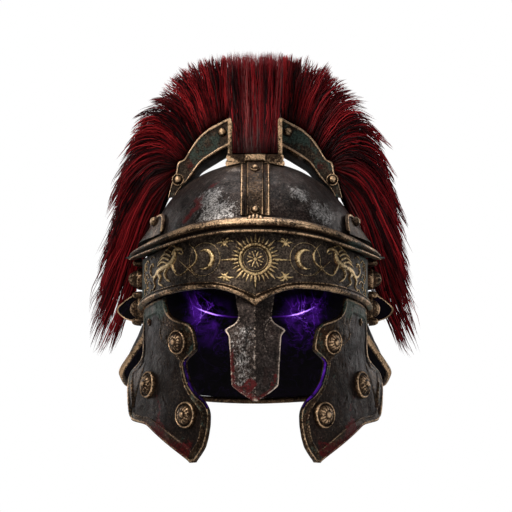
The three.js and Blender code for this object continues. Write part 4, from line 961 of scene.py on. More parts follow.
# ---------------------------------------------------------------- round work: rivets and bosses
def frame_at(normal, up=(0, 0, 1)):
    n = np.asarray(normal, float)
    n = n / np.linalg.norm(n)
    up = np.asarray(up, float)
    if abs(n @ up) > 0.95:
        up = np.array([0, 1.0, 0])
    x = np.cross(up, n); x /= np.linalg.norm(x)
    return x, np.cross(n, x), n


def boss(name, point, normal, radius, heights, node_name, body="helmet", mat=None, rings=26, spokes=64, petals=0, stretch=(1, 1), slot="bronze", seed=1, lift=0.0):
    """Round boss: heights is a row of (share of the radius, height, edge mark), petals cut the dome into leaves."""
    H = np.asarray(heights, float)
    r = np.linspace(1, 0.03, rings) ** 1.0
    a = np.arange(spokes) * 2 * math.pi / spokes
    R, T = np.meshgrid(r, a, indexing="ij")
    order = np.argsort(H[:, 0])
    h = np.interp(R, H[order, 0], H[order, 1])
    mark = np.interp(R, H[order, 0], H[order, 2])
    if petals:
        zone = step(0.28, 0.4, R) * step(0.8, 0.7, R)
        leaf = np.abs(np.sin(T * petals / 2))
        h = h - 0.55 * zone * (1 - leaf) ** 2 * 1.2
        ring2 = step(0.8, 0.84, R) * step(0.96, 0.9, R)
        bead = 0.5 + 0.5 * np.cos(T * petals * 3)
        h = h + 0.28 * ring2 * bead
        mark = np.clip(mark + 0.6 * zone * (leaf - 0.45), -1, 1)
    x, y, n = frame_at(normal)
    base = np.asarray(point, float) + n * lift
    P = base + (R * np.cos(T) * radius * stretch[0])[..., None] * x + (R * np.sin(T) * radius * stretch[1])[..., None] * y + h[..., None] * n
    P = P + n * (cloud(P, 3.5, 2, seed) * 0.1)[..., None]
    foot = base + (np.cos(a) * radius * stretch[0])[:, None] * x + (np.sin(a) * radius * stretch[1])[:, None] * y - 0.9 * n
    V = np.concatenate([foot, P.reshape(-1, 3), [base + n * (h[-1].mean()), base - 0.9 * n]])
    q = grid_quads(rings + 1, spokes, 0, True)
    i = np.arange(spokes); j = (i + 1) % spokes
    last, top = rings * spokes, (rings + 1) * spokes
    t = np.concatenate([np.stack([np.full(spokes, top), last + i, last + j], -1), np.stack([np.full(spokes, top + 1), j, i], -1)])
    # edge marks below zero, the grooves of the boss, become painted shade
    attrs = {"edge": np.clip(np.concatenate([np.zeros(spokes), mark.ravel(), [1, 0]]), 0, 1), "painted_shade": np.clip(-np.concatenate([np.full(spokes, -0.0), mark.ravel(), [0, 0]]), 0, 1)}
    return piece(name, V, q, t, body=body, mats=(mat or BRONZE,), slot=slot, stands_for=(node_name,) if node_name else (), attrs=attrs, sharp=60)


RIVET = [(1, 0, -0.6), (0.97, 0.5, 0.1), (0.86, 1.35, 0.4), (0.66, 2.05, 0.7), (0.4, 2.5, 1), (0.0, 2.65, 1)]
WASHERED = [(1, 0.4, 0), (0.97, 1.2, 0.7), (0.88, 1.5, 1), (0.8, 1.2, 0.2), (0.74, 0.8, -1), (0.7, 1.3, -0.4), (0.6, 2.6, 0.3), (0.42, 3.5, 0.8), (0.2, 3.95, 1), (0, 4.1, 1)]
CHEEK_BOSS = [(1, 0.9, 0), (0.97, 2.0, 0.6), (0.91, 2.6, 1), (0.85, 2.2, 0.4), (0.8, 1.5, -1), (0.74, 1.9, -0.6), (0.66, 3.4, 0.2), (0.5, 4.9, 0.5), (0.36, 5.6, 0.5), (0.29, 5.5, -0.5), (0.24, 6.0, 0.5), (0.12, 6.9, 1), (0, 7.1, 1)]


def meridian(elevation, out):
    a = math.radians(elevation)
    p = np.array([0, -B * math.cos(a), C * math.sin(a)])
    n = np.array([0, -math.cos(a) / B, math.sin(a) / C]); n /= np.linalg.norm(n)
    return p + n * out, n


def strip():
    climbs = np.linspace(11.4, 53.2, 100)
    x = np.linspace(-12, 12, 57)
    ax = np.abs(x)
    h = 2.0 + 0.9 * step(0.8, 0.0, 12 - ax) * 0 + 1.9 * step(6.9, 6.3, ax)
    h = h + 0.7 * np.exp(-((ax - 10.9) / 0.75) ** 2) + 0.35 * np.exp(-((ax - 6.0) / 0.5) ** 2) - 0.5 * np.exp(-((ax - 7.7) / 0.6) ** 2)
    e, X = np.meshgrid(climbs, x, indexing="ij")
    a = np.radians(e)
    base = np.stack([X, -B * np.cos(a), C * np.sin(a)], -1)
    n = np.stack([0 * X, -np.cos(a) / B, np.sin(a) / C], -1); n /= np.linalg.norm(n, axis=-1, keepdims=True)
    rough = cloud(base, 6, 3, 66) * 0.2 - 0.35 * step(0.7, 0.85, noise3(base / 2.2, 35))
    outer = base + n * (h[None] + rough)[..., None]
    inner = base + n * 0.7
    V, q = wall(outer, inner)
    mark = np.clip(np.exp(-((ax - 10.9) / 0.9) ** 2) + np.exp(-((ax - 6.1) / 0.7) ** 2) * 0.9, 0, 1) - 0.9 * np.exp(-((ax - 7.9) / 0.7) ** 2)
    mark = np.broadcast_to(mark[None], e.shape)
    zero = np.zeros(mark.size)
    # the dip between the raised lines gets painted shade
    piece("dome_band", V, q, mats=(BRONZE,), stands_for=("dome_strip",), sharp=60,
          attrs={"edge": np.concatenate([np.clip(mark, 0, 1).ravel(), zero]), "painted_shade": np.concatenate([np.clip(-mark, 0, 1).ravel(), zero])})
    for name, climb in (("strip_rivet_top", 44.2), ("strip_rivet_bottom", 13.6)):
        p, n = meridian(climb, 3.9)
        boss(name + "_head", p, n, 4.2, [(1, 0.2, 0), (0.96, 0.9, 0.8), (0.86, 1.0, 0.6), (0.8, 0.6, -1), (0.76, 0.9, -0.5), (0.6, 2.2, 0.4), (0.3, 3.1, 1), (0, 3.3, 1)], name, lift=0.2, seed=4)


strip()


# ---------------------------------------------------------------- crest holder
def crown_line(y):
    return C * np.sqrt(1 - (y / B) ** 2)


def socket():
    i, o = SOCKET_HALF - SOCKET_WALL, SOCKET_HALF
    # outline across, with rounded mouldings; third column marks rubbed ridges that also carry painted highlight, and
    # below zero the grooves that get painted shade
    left = [[-24.5, -2.2, 0.2], [-24.9, -0.6, 0.9], [-24.5, 1.0, 0.6], [-23.4, 1.9, -0.9], [-23.5, 2.8, 0.1], [-24.1, 4.2, 0.9], [-24.0, 5.8, 1], [-23.2, 7.0, 0.2], [-22.6, 7.8, -0.8], [-22.8, 9.2, 0.2],
            [-22.8, 34, 0.3], [-22.9, 38.0, 0.8], [-22.3, 39.2, 1], [-20.2, 39.3, 0.8], [-19.4, 38.2, 0.8], [-19.3, 34, 0.2], [-19.3, 9.4, -0.4], [-19.3, 7.8, -1]]
    right = [[-x, z, m] for x, z, m in left[::-1]]
    under = [[12, 0.4, 0], [0, 1, 0], [-12, 0.4, 0]]
    prof = np.array(left + right + under, float)
    y = np.linspace(-SOCKET_REACH, SOCKET_REACH, 90)
    P = np.stack([np.broadcast_to(prof[None, :, 0], (len(y), len(prof))), np.broadcast_to(y[:, None], (len(y), len(prof))), crown_line(y)[:, None] + prof[None, :, 1]], -1).copy()
    P[..., 0] += cloud(P, 7, 2, 5) * 0.1
    # both ends closed by a strip across the outline, as the section is hollow above its floor
    rows, m = P.shape[:2]
    q = [grid_quads(rows, m, 0, True)]
    k = len(left)
    pairs = []
    for e, base in ((0, 0), (1, (rows - 1) * m)):
        # left post: outer points 8..13 against inner points 17..14
        L = list(range(k)); R = list(range(k, 2 * k)); U = list(range(2 * k, 2 * k + 3))
        faces = [(8, 9, 16, 17), (9, 10, 15, 16), (10, 11, 14, 15), (11, 12, 13, 14)]
        for f in faces:
            pairs.append((e, [base + v for v in f]))
            pairs.append((e, [base + (2 * k - 1 - v) for v in f][::-1]))
        # base block below the floor
        chain_left = [0, 1, 2, 3, 4, 5, 6, 7, 8]
        # fans between the outer moulding and the floor line, left and right, closed through the underside
        pts = [U[2]] + chain_left + [17]
        pairs.append((e, [base + v for v in pts]))
        pairs.append((e, [base + (v if v >= 2 * k else 2 * k - 1 - v) for v in ([U[0]] + chain_left + [17])][::-1]))
        pairs.append((e, [base + U[2], base + 17, base + (2 * k - 1 - 17), base + U[0], base + U[1]]))
    tris = []
    for e, poly in pairs:
        # ear clipping is not needed: every outline here is seen whole from its first corner
        for a in range(1, len(poly) - 1):
            f = (poly[0], poly[a], poly[a + 1])
            tris.append(f)
    tris = np.array(tris)
    V = P.reshape(-1, 3)
    quads = np.concatenate(q)
    # make the caps face away from the middle
    n = np.cross(V[tris[:, 1]] - V[tris[:, 0]], V[tris[:, 2]] - V[tris[:, 0]])
    want = np.where(V[tris[:, 0], 1] < 0, -1, 1)
    flip = n[:, 1] * want < 0
    tris[flip] = tris[flip][:, ::-1]
    # and the long faces outward as well
    a, b, c, d = (V[quads[:, s]] for s in range(4))
    vol = np.sum(np.einsum("ij,ij->i", a, np.cross(b, c))) + np.sum(np.einsum("ij,ij->i", a, np.cross(c, d)))
    capv = np.sum(np.einsum("ij,ij->i", V[tris[:, 0]], np.cross(V[tris[:, 1]], V[tris[:, 2]])))
    if vol + capv < 0 or vol < -abs(capv):
        quads = quads[:, ::-1]
    mark = np.broadcast_to(prof[None, :, 2], (rows, m)).copy()
    front = step(-52.5, -55, P[..., 1]) + step(52.5, 55, P[..., 1])
    mark = np.clip(mark + 0.6 * front, -1, 1)
    piece("crest_box", V, quads, tris, mats=(BRONZE,), stands_for=("crest_socket",), sharp=50,
          attrs={"edge": np.clip(mark, 0, 1).ravel(), "painted_shade": np.clip(-mark, 0, 1).ravel()})
    # clip under the front of the holder
    u = np.linspace(-1, 1, 24); w = np.linspace(-1, 1, 12)
    U, W = np.meshgrid(w, u, indexing="ij")
    z = crown_line(55.0) + 4.6 + U * 3.0
    x = W * 8.9
    h = 1.3 * (1 - np.abs(W) ** 8) * (1 - np.abs(U) ** 6) ** 0.5 + 0.5 * np.exp(-((np.abs(W) - 0.86) / 0.08) ** 2)
    outer = np.stack([x, -SOCKET_REACH - 1.6 - h, z], -1)
    inner = np.stack([x, np.full_like(x, -SOCKET_REACH - 0.5), z], -1)
    V, q = wall(outer, inner)
    piece("crest_clip", V, q, mats=(BRONZE,), stands_for=("socket_clip",), attrs={"edge": np.concatenate([np.full(x.size, 0.9), np.zeros(x.size)])}, sharp=50)


socket()


def arch_rows(count):
    d = np.concatenate([[0], np.cumsum(np.linalg.norm(np.diff(ARCH[:, 2:], axis=0), axis=1))])
    u = np.linspace(0, d[-1], count)
    cols = [hermite(d, list(ARCH[:, k]), u) for k in range(4)]
    linear = [np.interp(u, d, ARCH[:, k]) for k in range(4)]
    w = np.zeros(count)
    return np.stack([c * (1 - w) + l * w for c, l in zip(cols, linear)], -1)


def arches():
    rows = arch_rows(120)
    w = 2.0
    # across the channel: depth from the front, share from the inner to the outer edge, push towards the viewer, ridge
    # mark (above zero rubbed ridges with painted highlight, below zero grooves with painted shade)
    front = [(0, 0.0, 0.0, 0.6), (0, 0.03, 0.55, 1), (0, 0.09, 0.6, 0.9), (0, 0.13, 0.1, -0.9), (0, 0.17, 0.0, -0.4), (0, 0.32, 0.05, 0), (0, 0.5, 0.1, 0), (0, 0.68, 0.05, 0), (0, 0.83, 0.0, -0.4), (0, 0.87, 0.1, -0.9),
             (0, 0.91, 0.6, 0.9), (0, 0.97, 0.55, 1), (0, 1.0, 0.0, 0.7)]
    rings, marks = [], []
    for name, sign in SIDES:
        body_rings = []
        for row in rows:
            inner, outer = row[:2], row[2:]
            span = outer - inner
            length = np.linalg.norm(span)
            ring = []
            for depth, t, push, mark in front:
                p = inner + span * t
                ring.append((p[0], ARCH_FRONT + depth - push, p[1]))
            for depth, t in ((w, 1.0), (w, w / length), (ARCH_DEPTH - w, w / length), (ARCH_DEPTH - w, 1.0), (ARCH_DEPTH, 1.0), (ARCH_DEPTH, 0.5), (ARCH_DEPTH, 0.0), (ARCH_DEPTH * 0.5, 0.0)):
                p = inner + span * t
                ring.append((p[0], ARCH_FRONT + depth, p[1]))
            body_rings.append(ring)
        P = mirror(np.array(body_rings), sign)
        bumpy = cloud(P, 6, 3, 14) * 0.22
        P[:, 1:12, 1] += bumpy[:, 1:12]
        rows_n, m = P.shape[:2]
        q = grid_quads(rows_n, m, 0, True)
        tris = []
        for base, way in ((0, 1), ((rows_n - 1) * m, -1)):
            f = list(range(13))
            c = [13, 14, 15, 16, 17, 18, 19, 20]
            # front wall: corners 0..12 with 13 (outer, inside face) and 14 (floor, inside face)
            cap = [[14] + f[::-1][:0] + [0], ]
            poly = [(14, a, a + 1) for a in range(0, 12)] + [(14, 12, 13)]
            poly += [(0, 14, 20), (20, 14, 15), (20, 15, 19), (19, 15, 18), (18, 15, 16), (18, 16, 17)]
            for tri in poly:
                t = [base + v for v in tri]
                tris.append(t if way > 0 else t[::-1])
        tris = np.array(tris)
        V = P.reshape(-1, 3)
        # turn the caps to match the long faces, by the shared edge 0-1 of the first ring
        fq = q[0]
        e = (fq[0], fq[1])
        for tri in tris[:1]:
            pass
        same = any((t[k], t[(k + 1) % 3]) == (0, 1) for t in tris.tolist() for k in range(3))
        if same == ((fq[0], fq[1]) == (0, 1)):
            tris = tris[:, ::-1]
        mark = np.concatenate([[f[3] for f in front], [0.4, -0.5, -0.5, 0.4, 0.5, 0, 0.4, 0]])
        mark = np.broadcast_to(mark[None], (rows_n, m)).ravel()
        patina = np.clip(0.2 + 1.1 * (noise3(V / 9, 3) - 0.4), 0, 1) * (mark < 0.5)
        stain = np.exp(-(np.linalg.norm(V - np.array([-56.0 * sign, -8, 86]), axis=1) / 7) ** 2) * 0.9
        piece("plume_arch_" + name, V, q, tris, mats=(PATINA,), slot="patina", stands_for=("crest_arch_" + name,), sharp=50,
              attrs={"edge": np.clip(mark, 0, 1), "painted_shade": np.clip(-mark, 0, 1) * 0.6, "patina": patina, "stain": stain})
        boss("arch_rivet_small_head_" + name, (-28.6 * sign, ARCH_FRONT - 0.2, 117.0), (0, -1, 0), 4.2, RIVET, "arch_rivet_small_" + name, rings=12, spokes=28, seed=6)
        boss("arch_rivet_large_head_" + name, (-66.6 * sign, ARCH_FRONT - 0.5, 74.0), (0, -1, 0), 5.4, WASHERED, "arch_rivet_large_" + name, rings=22, spokes=48, seed=7)


arches()


# ---------------------------------------------------------------- pieces beside the ears
def ear_side():
    for name, sign in SIDES:
        at = np.linspace(54.5, 100, 70)
        low = np.interp(at, [54.5, 56, 66, 100], [15.5, 13.5, 14.0, 15])
        high = np.interp(at, [54.5, 56, 58, 61, 65, 70, 78, 88, 100], [20, 26.5, 30.5, 33, 33.8, 33, 31.5, 30, 26])
        r = np.linspace(0, 1, 36)[:, None]
        z = low[None] + (high - low)[None] * r
        ph = np.broadcast_to(-at[None], z.shape)
        P = shell(ph, 0, z)
        n = dome_normal(P)
        flat = np.stack([np.broadcast_to(at[None], z.shape) * 1.75, z], -1)
        outline = np.concatenate([np.stack([at * 1.75, high], -1)[::-1], np.stack([at[:1] * 1.75, low[:1]], -1)])
        d = polyline_distance(flat, outline)
        h = 2.4 + 1.1 * np.sin(np.clip(d / 3.2, 0, 1) * math.pi) ** 0.8 * step(3.4, 2.9, d) - 0.4 * np.exp(-((d - 3.8) / 0.5) ** 2) + cloud(P, 5, 2, 19) * 0.12
        flare = (7.0 * (1 - r) ** 1.4 * step(60, 82, at)[None])[..., None] * np.array([-1.0, 0, 0])
        V, q = wall(mirror(P + n * h[..., None] + flare, sign), mirror(P + n * 1.2 + flare, sign))
        mark = np.clip(np.exp(-((d - 1.6) / 1.0) ** 2) + 0.3 * noise3(P / 6, 66), 0, 1)
        zero = np.zeros(mark.size)
        # the groove inside the plate's raised border gets painted shade
        piece("side_plate_" + name, V, q, mats=(BRONZE,), stands_for=("side_tongue_" + name,), sharp=55,
              attrs={"edge": np.concatenate([mark.ravel(), zero]), "painted_shade": np.concatenate([np.exp(-((d - 3.8) / 0.6) ** 2).ravel() * 0.8, zero]),
                     "patina": np.concatenate([(step(28, 18, z) * 0.8 * noise3(P / 9, 65)).ravel(), zero])})
        p = shell(-66.8, 0, 27.6); n = dome_normal(p)
        boss("side_plate_rivet_" + name, mirror(p + n * 2.8, sign), mirror(n, sign), 4.3, [(1, 0, -0.6), (0.97, 1.0, 0.1), (0.88, 2.2, 0.4), (0.68, 3.3, 0.7), (0.4, 4.0, 1), (0.0, 4.3, 1)], "tongue_rivet_" + name, rings=12, spokes=28, lift=0.3, seed=9)
        side = (-sign, 0, 0)
        bead = [(1, 0, -0.5), (0.96, 2.2, 0.2), (0.8, 5.0, 0.5), (0.5, 6.8, 0.8), (0, 7.4, 1)]
        boss("ear_bead_head_" + name, (-97.4 * sign, -1, 2.4), side, 3.6, bead, "ear_bead_" + name, rings=14, spokes=32, lift=0.4)
        for label, zc, radius in (("upper", -25.6, 3.3), ("lower", -48.6, 3.8)):
            boss("ear_bead_%s_%s" % (label, name), (-97.6 * sign, -1, zc), side, radius, bead, None, rings=14, spokes=32, lift=0.2, seed=10)
        boss("ear_boss_large_" + name, (-94.3 * sign, -1, -11.8), side, 9.6,
             [(1, 0.4, 0), (0.97, 4.4, 0.4), (0.9, 6.6, 0.8), (0.84, 6.4, -0.8), (0.78, 8.0, 0), (0.62, 11.0, 0.4), (0.42, 13.0, 0.6), (0.2, 13.9, 0.9), (0, 14.1, 1)], "ear_boss_upper_" + name, petals=9, rings=34, spokes=72, seed=11)
        boss("ear_boss_long_" + name, (-94.3 * sign, -1, -37.6), side, 6.2,
             [(1, 0.4, 0), (0.95, 4.2, 0.4), (0.86, 6.0, 0.7), (0.78, 6.2, -0.5), (0.6, 9.2, 0.4), (0.4, 11.4, 0.7), (0.2, 12.3, 1), (0, 12.6, 1)], "ear_boss_lower_" + name, rings=26, spokes=60, stretch=(1, 1.75), seed=12)
        # ear guard: a curved flange, violet inside with painted glowing light, with a rubbed rim that also carries
        # painted highlight
        outline = np.array([[-96, -21], [-101.5, -21], [-107.9, -24.6], [-114, -29.2], [-119.2, -34.6], [-118.2, -38.6], [-113, -43], [-106.8, -45.4], [-100, -47.5], [-96, -48]], float)
        d = np.concatenate([[0], np.cumsum(np.linalg.norm(np.diff(outline, axis=0), axis=1))])
        u = np.linspace(0, d[-1], 60)
        ring = np.stack([hermite(d, list(outline[:, 0]), u), hermite(d, list(outline[:, 1]), u)], -1)
        root = np.stack([np.full(60, -95.2), np.linspace(-22, -47, 60)], -1)
        v = np.linspace(0, 1, 18)[:, None, None]
        G = root[None] + (ring - root)[None] * v
        dist = np.linalg.norm(G - ring[None], axis=-1)
        cup = 5.0 * (1 - np.clip((-95 - G[..., 0]) / 25, 0, 1)) ** 1.5
        y = 15.0 - cup * 0.2
        front = np.stack([G[..., 0], y - 0.9 - 0.9 * step(2.0, 1.0, dist), G[..., 1]], -1)
        backf = np.stack([G[..., 0], y + 0.9, G[..., 1]], -1)
        V, q = wall(mirror(front, sign), mirror(backf, sign))
        mark = step(2.2, 1.2, dist)
        cells_n = 17 * 59
        idx = np.zeros(len(q), int)
        near = mark[:-1, :-1].ravel() < 0.4
        idx[:cells_n][near] = 1
        piece("ear_flange_" + name, V, q, mats=(BRONZE, GLOWING_INTERIOR), index=idx, stands_for=("ear_guard_" + name,), sharp=50,
              attrs={"edge": np.concatenate([mark.ravel(), mark.ravel() * 0.8]), "painted_glowing": np.full(len(V), 0.5)})


ear_side()


# ---------------------------------------------------------------- cheek guards
def bulge(at, z):
    rows = [hermite(BULGE_AT, list(row), at) for row in BULGE]
    return hermite(BULGE_Z, rows, z)


def cheek_point(at, z):
    k, a = bulge(at, z), np.radians(at)
    return np.stack([-k * A * np.sin(a), -k * B * np.cos(a), z], -1)


def cheek_normal(at, z):
    u = cheek_point(at + 0.2, z) - cheek_point(at - 0.2, z)
    v = cheek_point(at, z + 0.2) - cheek_point(at, z - 0.2)
    n = np.cross(u, v)
    n /= np.linalg.norm(n, axis=-1, keepdims=True)
    p = cheek_point(at, z)
    sign = np.sign(n[..., 0] * p[..., 0] + n[..., 1] * p[..., 1])
    return n * sign[..., None]


def cheeks():
    z = np.linspace(-40.8, -176, 138)
    fore = np.interp(-z, -CHEEK[:, 0], CHEEK[:, 1])
    aft = np.interp(-z, -CHEEK[:, 0], CHEEK[:, 2])
    kernel = np.hanning(9); kernel /= kernel.sum()
    soft = lambda f: np.convolve(np.pad(f, 8, mode="edge"), kernel, "same")[8:-8]
    fore, aft = soft(fore), soft(aft)
    cols = 90
    u = np.linspace(0, 1, cols)
    at = fore[:, None] + (aft - fore)[:, None] * u[None]
    zz = np.broadcast_to(z[:, None], at.shape)
    P, n = cheek_point(at, zz), cheek_normal(at, zz)
    scale = 1.75
    flat = np.stack([at * scale, zz], -1)
    front_side, back_side = np.stack([fore * scale, z], -1), np.stack([aft * scale, z], -1)
    outline = np.concatenate([front_side[::2], back_side[::-1][::2], back_side[:1], front_side[:1]])
    d = polyline_distance(flat, outline)
    # wide band with a rolled outer lip and a fine inner line; narrower round the notch and on the back edge
    ahead = np.interp(-zz, [41, 56, 62, 68, 74, 84, 89, 94, 110, 128, 140, 176], [12, 12, 14, 20, 23, 23, 14, 6.6, 6.8, 7.6, 9.0, 9.0])
    behind = np.interp(-zz, [41, 51.0, 53.0, 84, 90, 134, 142, 160, 176], [11.2, 11.2, 3.2, 3.2, 6.0, 6.0, 9.4, 9.4, 9.0])
    turn = step(58, 60, at) * step(-142, -136, zz) + step(46, 49, at) * step(-136, -142, zz)
    wide = ahead + (behind - ahead) * np.clip(turn, 0, 1)
    lip = 1.55 * np.sqrt(np.clip(1 - ((d - 1.25) / 1.35) ** 2, 0, 1))
    band = 0.85 * step(wide + 0.5, wide - 0.5, d)
    line = 0.5 * np.exp(-((d - wide + 0.6) / 0.55) ** 2)
    dents = cloud(P, 15, 3, 29) * 0.35 + cloud(P, 5, 2, 30) * 0.12 - 0.5 * step(0.74, 0.88, noise3(P / 2.7, 33)) * step(0.45, 0.6, noise3(P / 14, 6))
    h = np.maximum(lip, band) + line + dents * step(0.5, 3, d) + 0.35
    wing_zone = step(79.5, 80.5, at + 0.12 * (zz + 110)) * step(-86, -89, zz) * step(-140, -137, zz)
    h = h - 0.9 * np.exp(-(((at - 80 + 0.12 * (zz + 110)) * scale) / 1.1) ** 2) * step(-86, -90, zz) * step(-140, -136, zz)
    steel_zone = (d > wide + 0.1) & (wing_zone < 0.5)
    # a strip along the front edge takes the interior material with strong painted glowing light
    glowing_edge_strip = (at < 50) & (d < 2.5 * step(-91, -97, zz) * step(-134, -122, zz))
    h = np.where(glowing_edge_strip, 0.1, h)
    edge = np.clip(np.exp(-((d - 1.2 - 2.4 * step(-91, -97, zz) * step(-134, -122, zz) * (at < 50)) / 0.9) ** 2) + 0.75 * np.exp(-((d - wide + 0.6) / 0.6) ** 2), 0, 1)
    # the groove inside the lip and the one beyond the band get painted shade
    painted_shade = np.clip(np.exp(-((d - 2.9) / 0.5) ** 2) * 0.8 + np.exp(-((d - wide - 0.9) / 0.6) ** 2) * 0.7, 0, 1)
    low = polyline_distance(flat, [(72 * scale, -142), (56 * scale, -155), (48 * scale, -162), (40 * scale, -168)])
    streak = polyline_distance(flat, [(64 * scale, -118), (60 * scale, -130), (62 * scale, -138), (58 * scale, -146)])
    drip = polyline_distance(flat, [(41 * scale, -150), (38 * scale, -160), (44 * scale, -166)])
    stain = np.clip(0.95 * np.exp(-(low / 8) ** 2) + 0.8 * np.exp(-(streak / 5) ** 2) + 0.6 * np.exp(-(drip / 5) ** 2), 0, 1)
    patina = np.clip(0.9 * np.exp(-((zz + 49) / 6) ** 2) + 0.5 * noise3(P / 13, 55) * (d < wide) + 0.55 * (noise3(P / 18, 57) - 0.35) * (at < 52), 0, 1)
    wear_and_painted_highlight = 0.12 + 0.2 * noise3(P / 22, 59)
    edge = np.maximum(edge, np.where(steel_zone, 0.0, 0.34 * noise3(P / 7, 63)))
    # the painted-shade mask also darkens the whole steel field, mottled by noise, and the bronze band a little
    painted_shade = np.maximum(painted_shade, np.where(steel_zone, 0.42 + 0.25 * noise3(P / 6, 61), 0.12))
    pair = lambda f: np.concatenate([f.ravel(), f.ravel() * 0])
    rows = len(z)
    # painted glowing light: strong on the front-edge strip, faint on the inner faces
    painted_glowing = np.concatenate([np.where(glowing_edge_strip, 2.2, 0.35).ravel(), np.full(glowing_edge_strip.size, 0.35)])
    for name, sign in SIDES:
        outer = mirror(P + n * h[..., None], sign)
        inner = mirror(P - n * CHEEK_WALL, sign)
        V, q = wall(outer, inner)
        idx = np.full(len(q), 1)
        cell = (rows - 1) * (cols - 1)
        idx[:cell] = np.where(glowing_edge_strip[:-1, :-1].ravel(), 2, np.where(steel_zone[:-1, :-1].ravel(), 0, 1))
        idx[cell:2 * cell] = 2
        piece("cheek_" + name + "_plate", V, q, body="cheek_" + name, mats=(CHEEK_STEEL, BRONZE, GLOWING_INTERIOR), index=idx, slot="steel",
              stands_for=("cheek_guard_" + name, "cheek_border_" + name), sharp=55,
              attrs={"edge": pair(edge), "painted_shade": pair(painted_shade), "stain": pair(stain), "patina": pair(patina), "wear_and_painted_highlight": pair(wear_and_painted_highlight), "painted_glowing": painted_glowing})
        for label, a, zc, radius in (("upper", 43.8, -79.0, 10.1), ("middle", 70.6, -108, 11.4), ("lower", 40, -138, 10.8)):
            pt, nn = cheek_point(np.array(a), np.array(zc)), cheek_normal(np.array(a), np.array(zc))
            boss("cheek_stud_%s_%s" % (label, name), mirror(pt, sign), mirror(nn, sign), radius, CHEEK_BOSS, "cheek_boss_%s_%s" % (label, name), body="cheek_" + name,
                 petals=13, rings=32, spokes=72, lift=0.9, seed=15)
        pt, nn = cheek_point(np.array(69.6), np.array(-56.0)), cheek_normal(np.array(69.6), np.array(-56.0))
        boss("cheek_stud_small_" + name, mirror(pt, sign), mirror(nn, sign), 2.6, [(1, 0, -0.6), (0.95, 0.7, 0.6), (0.7, 1.0, 0.8), (0.55, 0.5, -0.8), (0.4, 1.3, 0.6), (0, 1.7, 1)], "cheek_rivet_" + name, body="cheek_" + name,
             rings=12, spokes=28, stretch=(1, 1.25), lift=0.7, seed=16)


cheeks()

for node_name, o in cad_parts.items():
    if node_name.startswith("hinge_"):
        o.data.materials.clear()
        o.data.materials.append(BRONZE)


# ---------------------------------------------------------------- bristles
WING = [
    (0.0, [(-24.3, 130), (-24.8, 159.6), (-25.8, 188.6)]),
    (0.1, [(-31.7, 126), (-37.1, 157.8), (-40.3, 173.5), (-42.6, 185.0)]),
    (0.2, [(-38.7, 122), (-48.5, 152.3), (-55.7, 167.0), (-62.6, 177.2)]),
    (0.3, [(-46, 115), (-59.0, 140.0), (-71.5, 153.8), (-81.6, 159.5)]),
    (0.4, [(-51.5, 108), (-66.0, 132.5), (-82.8, 145.7), (-96.6, 145.4)]),
    (0.5, [(-56, 101), (-72.9, 123.5), (-92.3, 132.0), (-108.6, 122.6)]),
    (0.6, [(-61, 94), (-78.1, 111.8), (-99.1, 113.8), (-116.6, 95.1)]),
    (0.7, [(-64.5, 90), (-83.2, 101.1), (-105.8, 92.0), (-123.4, 64.4)]),
    (0.78, [(-66, 88), (-86.9, 90.9), (-111.1, 69.3), (-129.7, 33.7)]),
    (0.86, [(-67.6, 86), (-90.8, 78.1), (-116.6, 37.5), (-136.6, -7.9)]),
    (0.93, [(-68.6, 82), (-93.1, 60.2), (-118.6, -3.0), (-142.6, -66.8)]),
    (1.0, [(-70.5, 78), (-93.2, 42.5), (-111.8, -17.1), (-133.6, -72.4)]),
    (1.1, [(-74.0, 70), (-91.3, 29.8), (-103.1, -10.8), (-119.5, -50.4)]),
]


def wing_table(samples=25):
    rows = []
    for _, pts in WING:
        P = np.array(pts, float)
        d = np.concatenate([[0], np.cumsum(np.linalg.norm(np.diff(P, axis=0), axis=1))])
        u = np.linspace(0, d[-1], samples)
        rows.append(np.stack([hermite(d, list(P[:, 0]), u), hermite(d, list(P[:, 1]), u)], -1))
    return np.array([t for t, _ in WING]), np.array(rows)


WING_T, WING_P = wing_table()


def wing_line(t, s):
    """Point (x, z) at share s along the bristle that leaves the channel at t; t and s are arrays of one shape."""
    t = np.clip(t, 0, 1.1)
    k = np.clip(np.searchsorted(WING_T, t) - 1, 0, len(WING_T) - 2)
    w = (t - WING_T[k]) / (WING_T[k + 1] - WING_T[k])
    f = np.clip(s, 0, 1) * (WING_P.shape[1] - 1)
    i = np.clip(f.astype(int), 0, WING_P.shape[1] - 2)
    g = (f - i)[..., None]
    row = lambda n: WING_P[n, i] * (1 - g) + WING_P[n, i + 1] * g
    return row(k) * (1 - w)[..., None] + row(k + 1) * w[..., None]


def wing_depth(z, v):
    front = np.interp(z, [-70, -40, 5, 26, 48, 63, 76, 95, 135, 190], [26, 19, 18, 14, 9, 3, -7, -12, -14, -12])
    back = np.interp(z, [-70, -40, 5, 26, 48, 63, 76, 95, 135, 190], [52, 58, 57, 53, 49, 46, 45, 44, 42, 36])
    return front + (back - front) * v


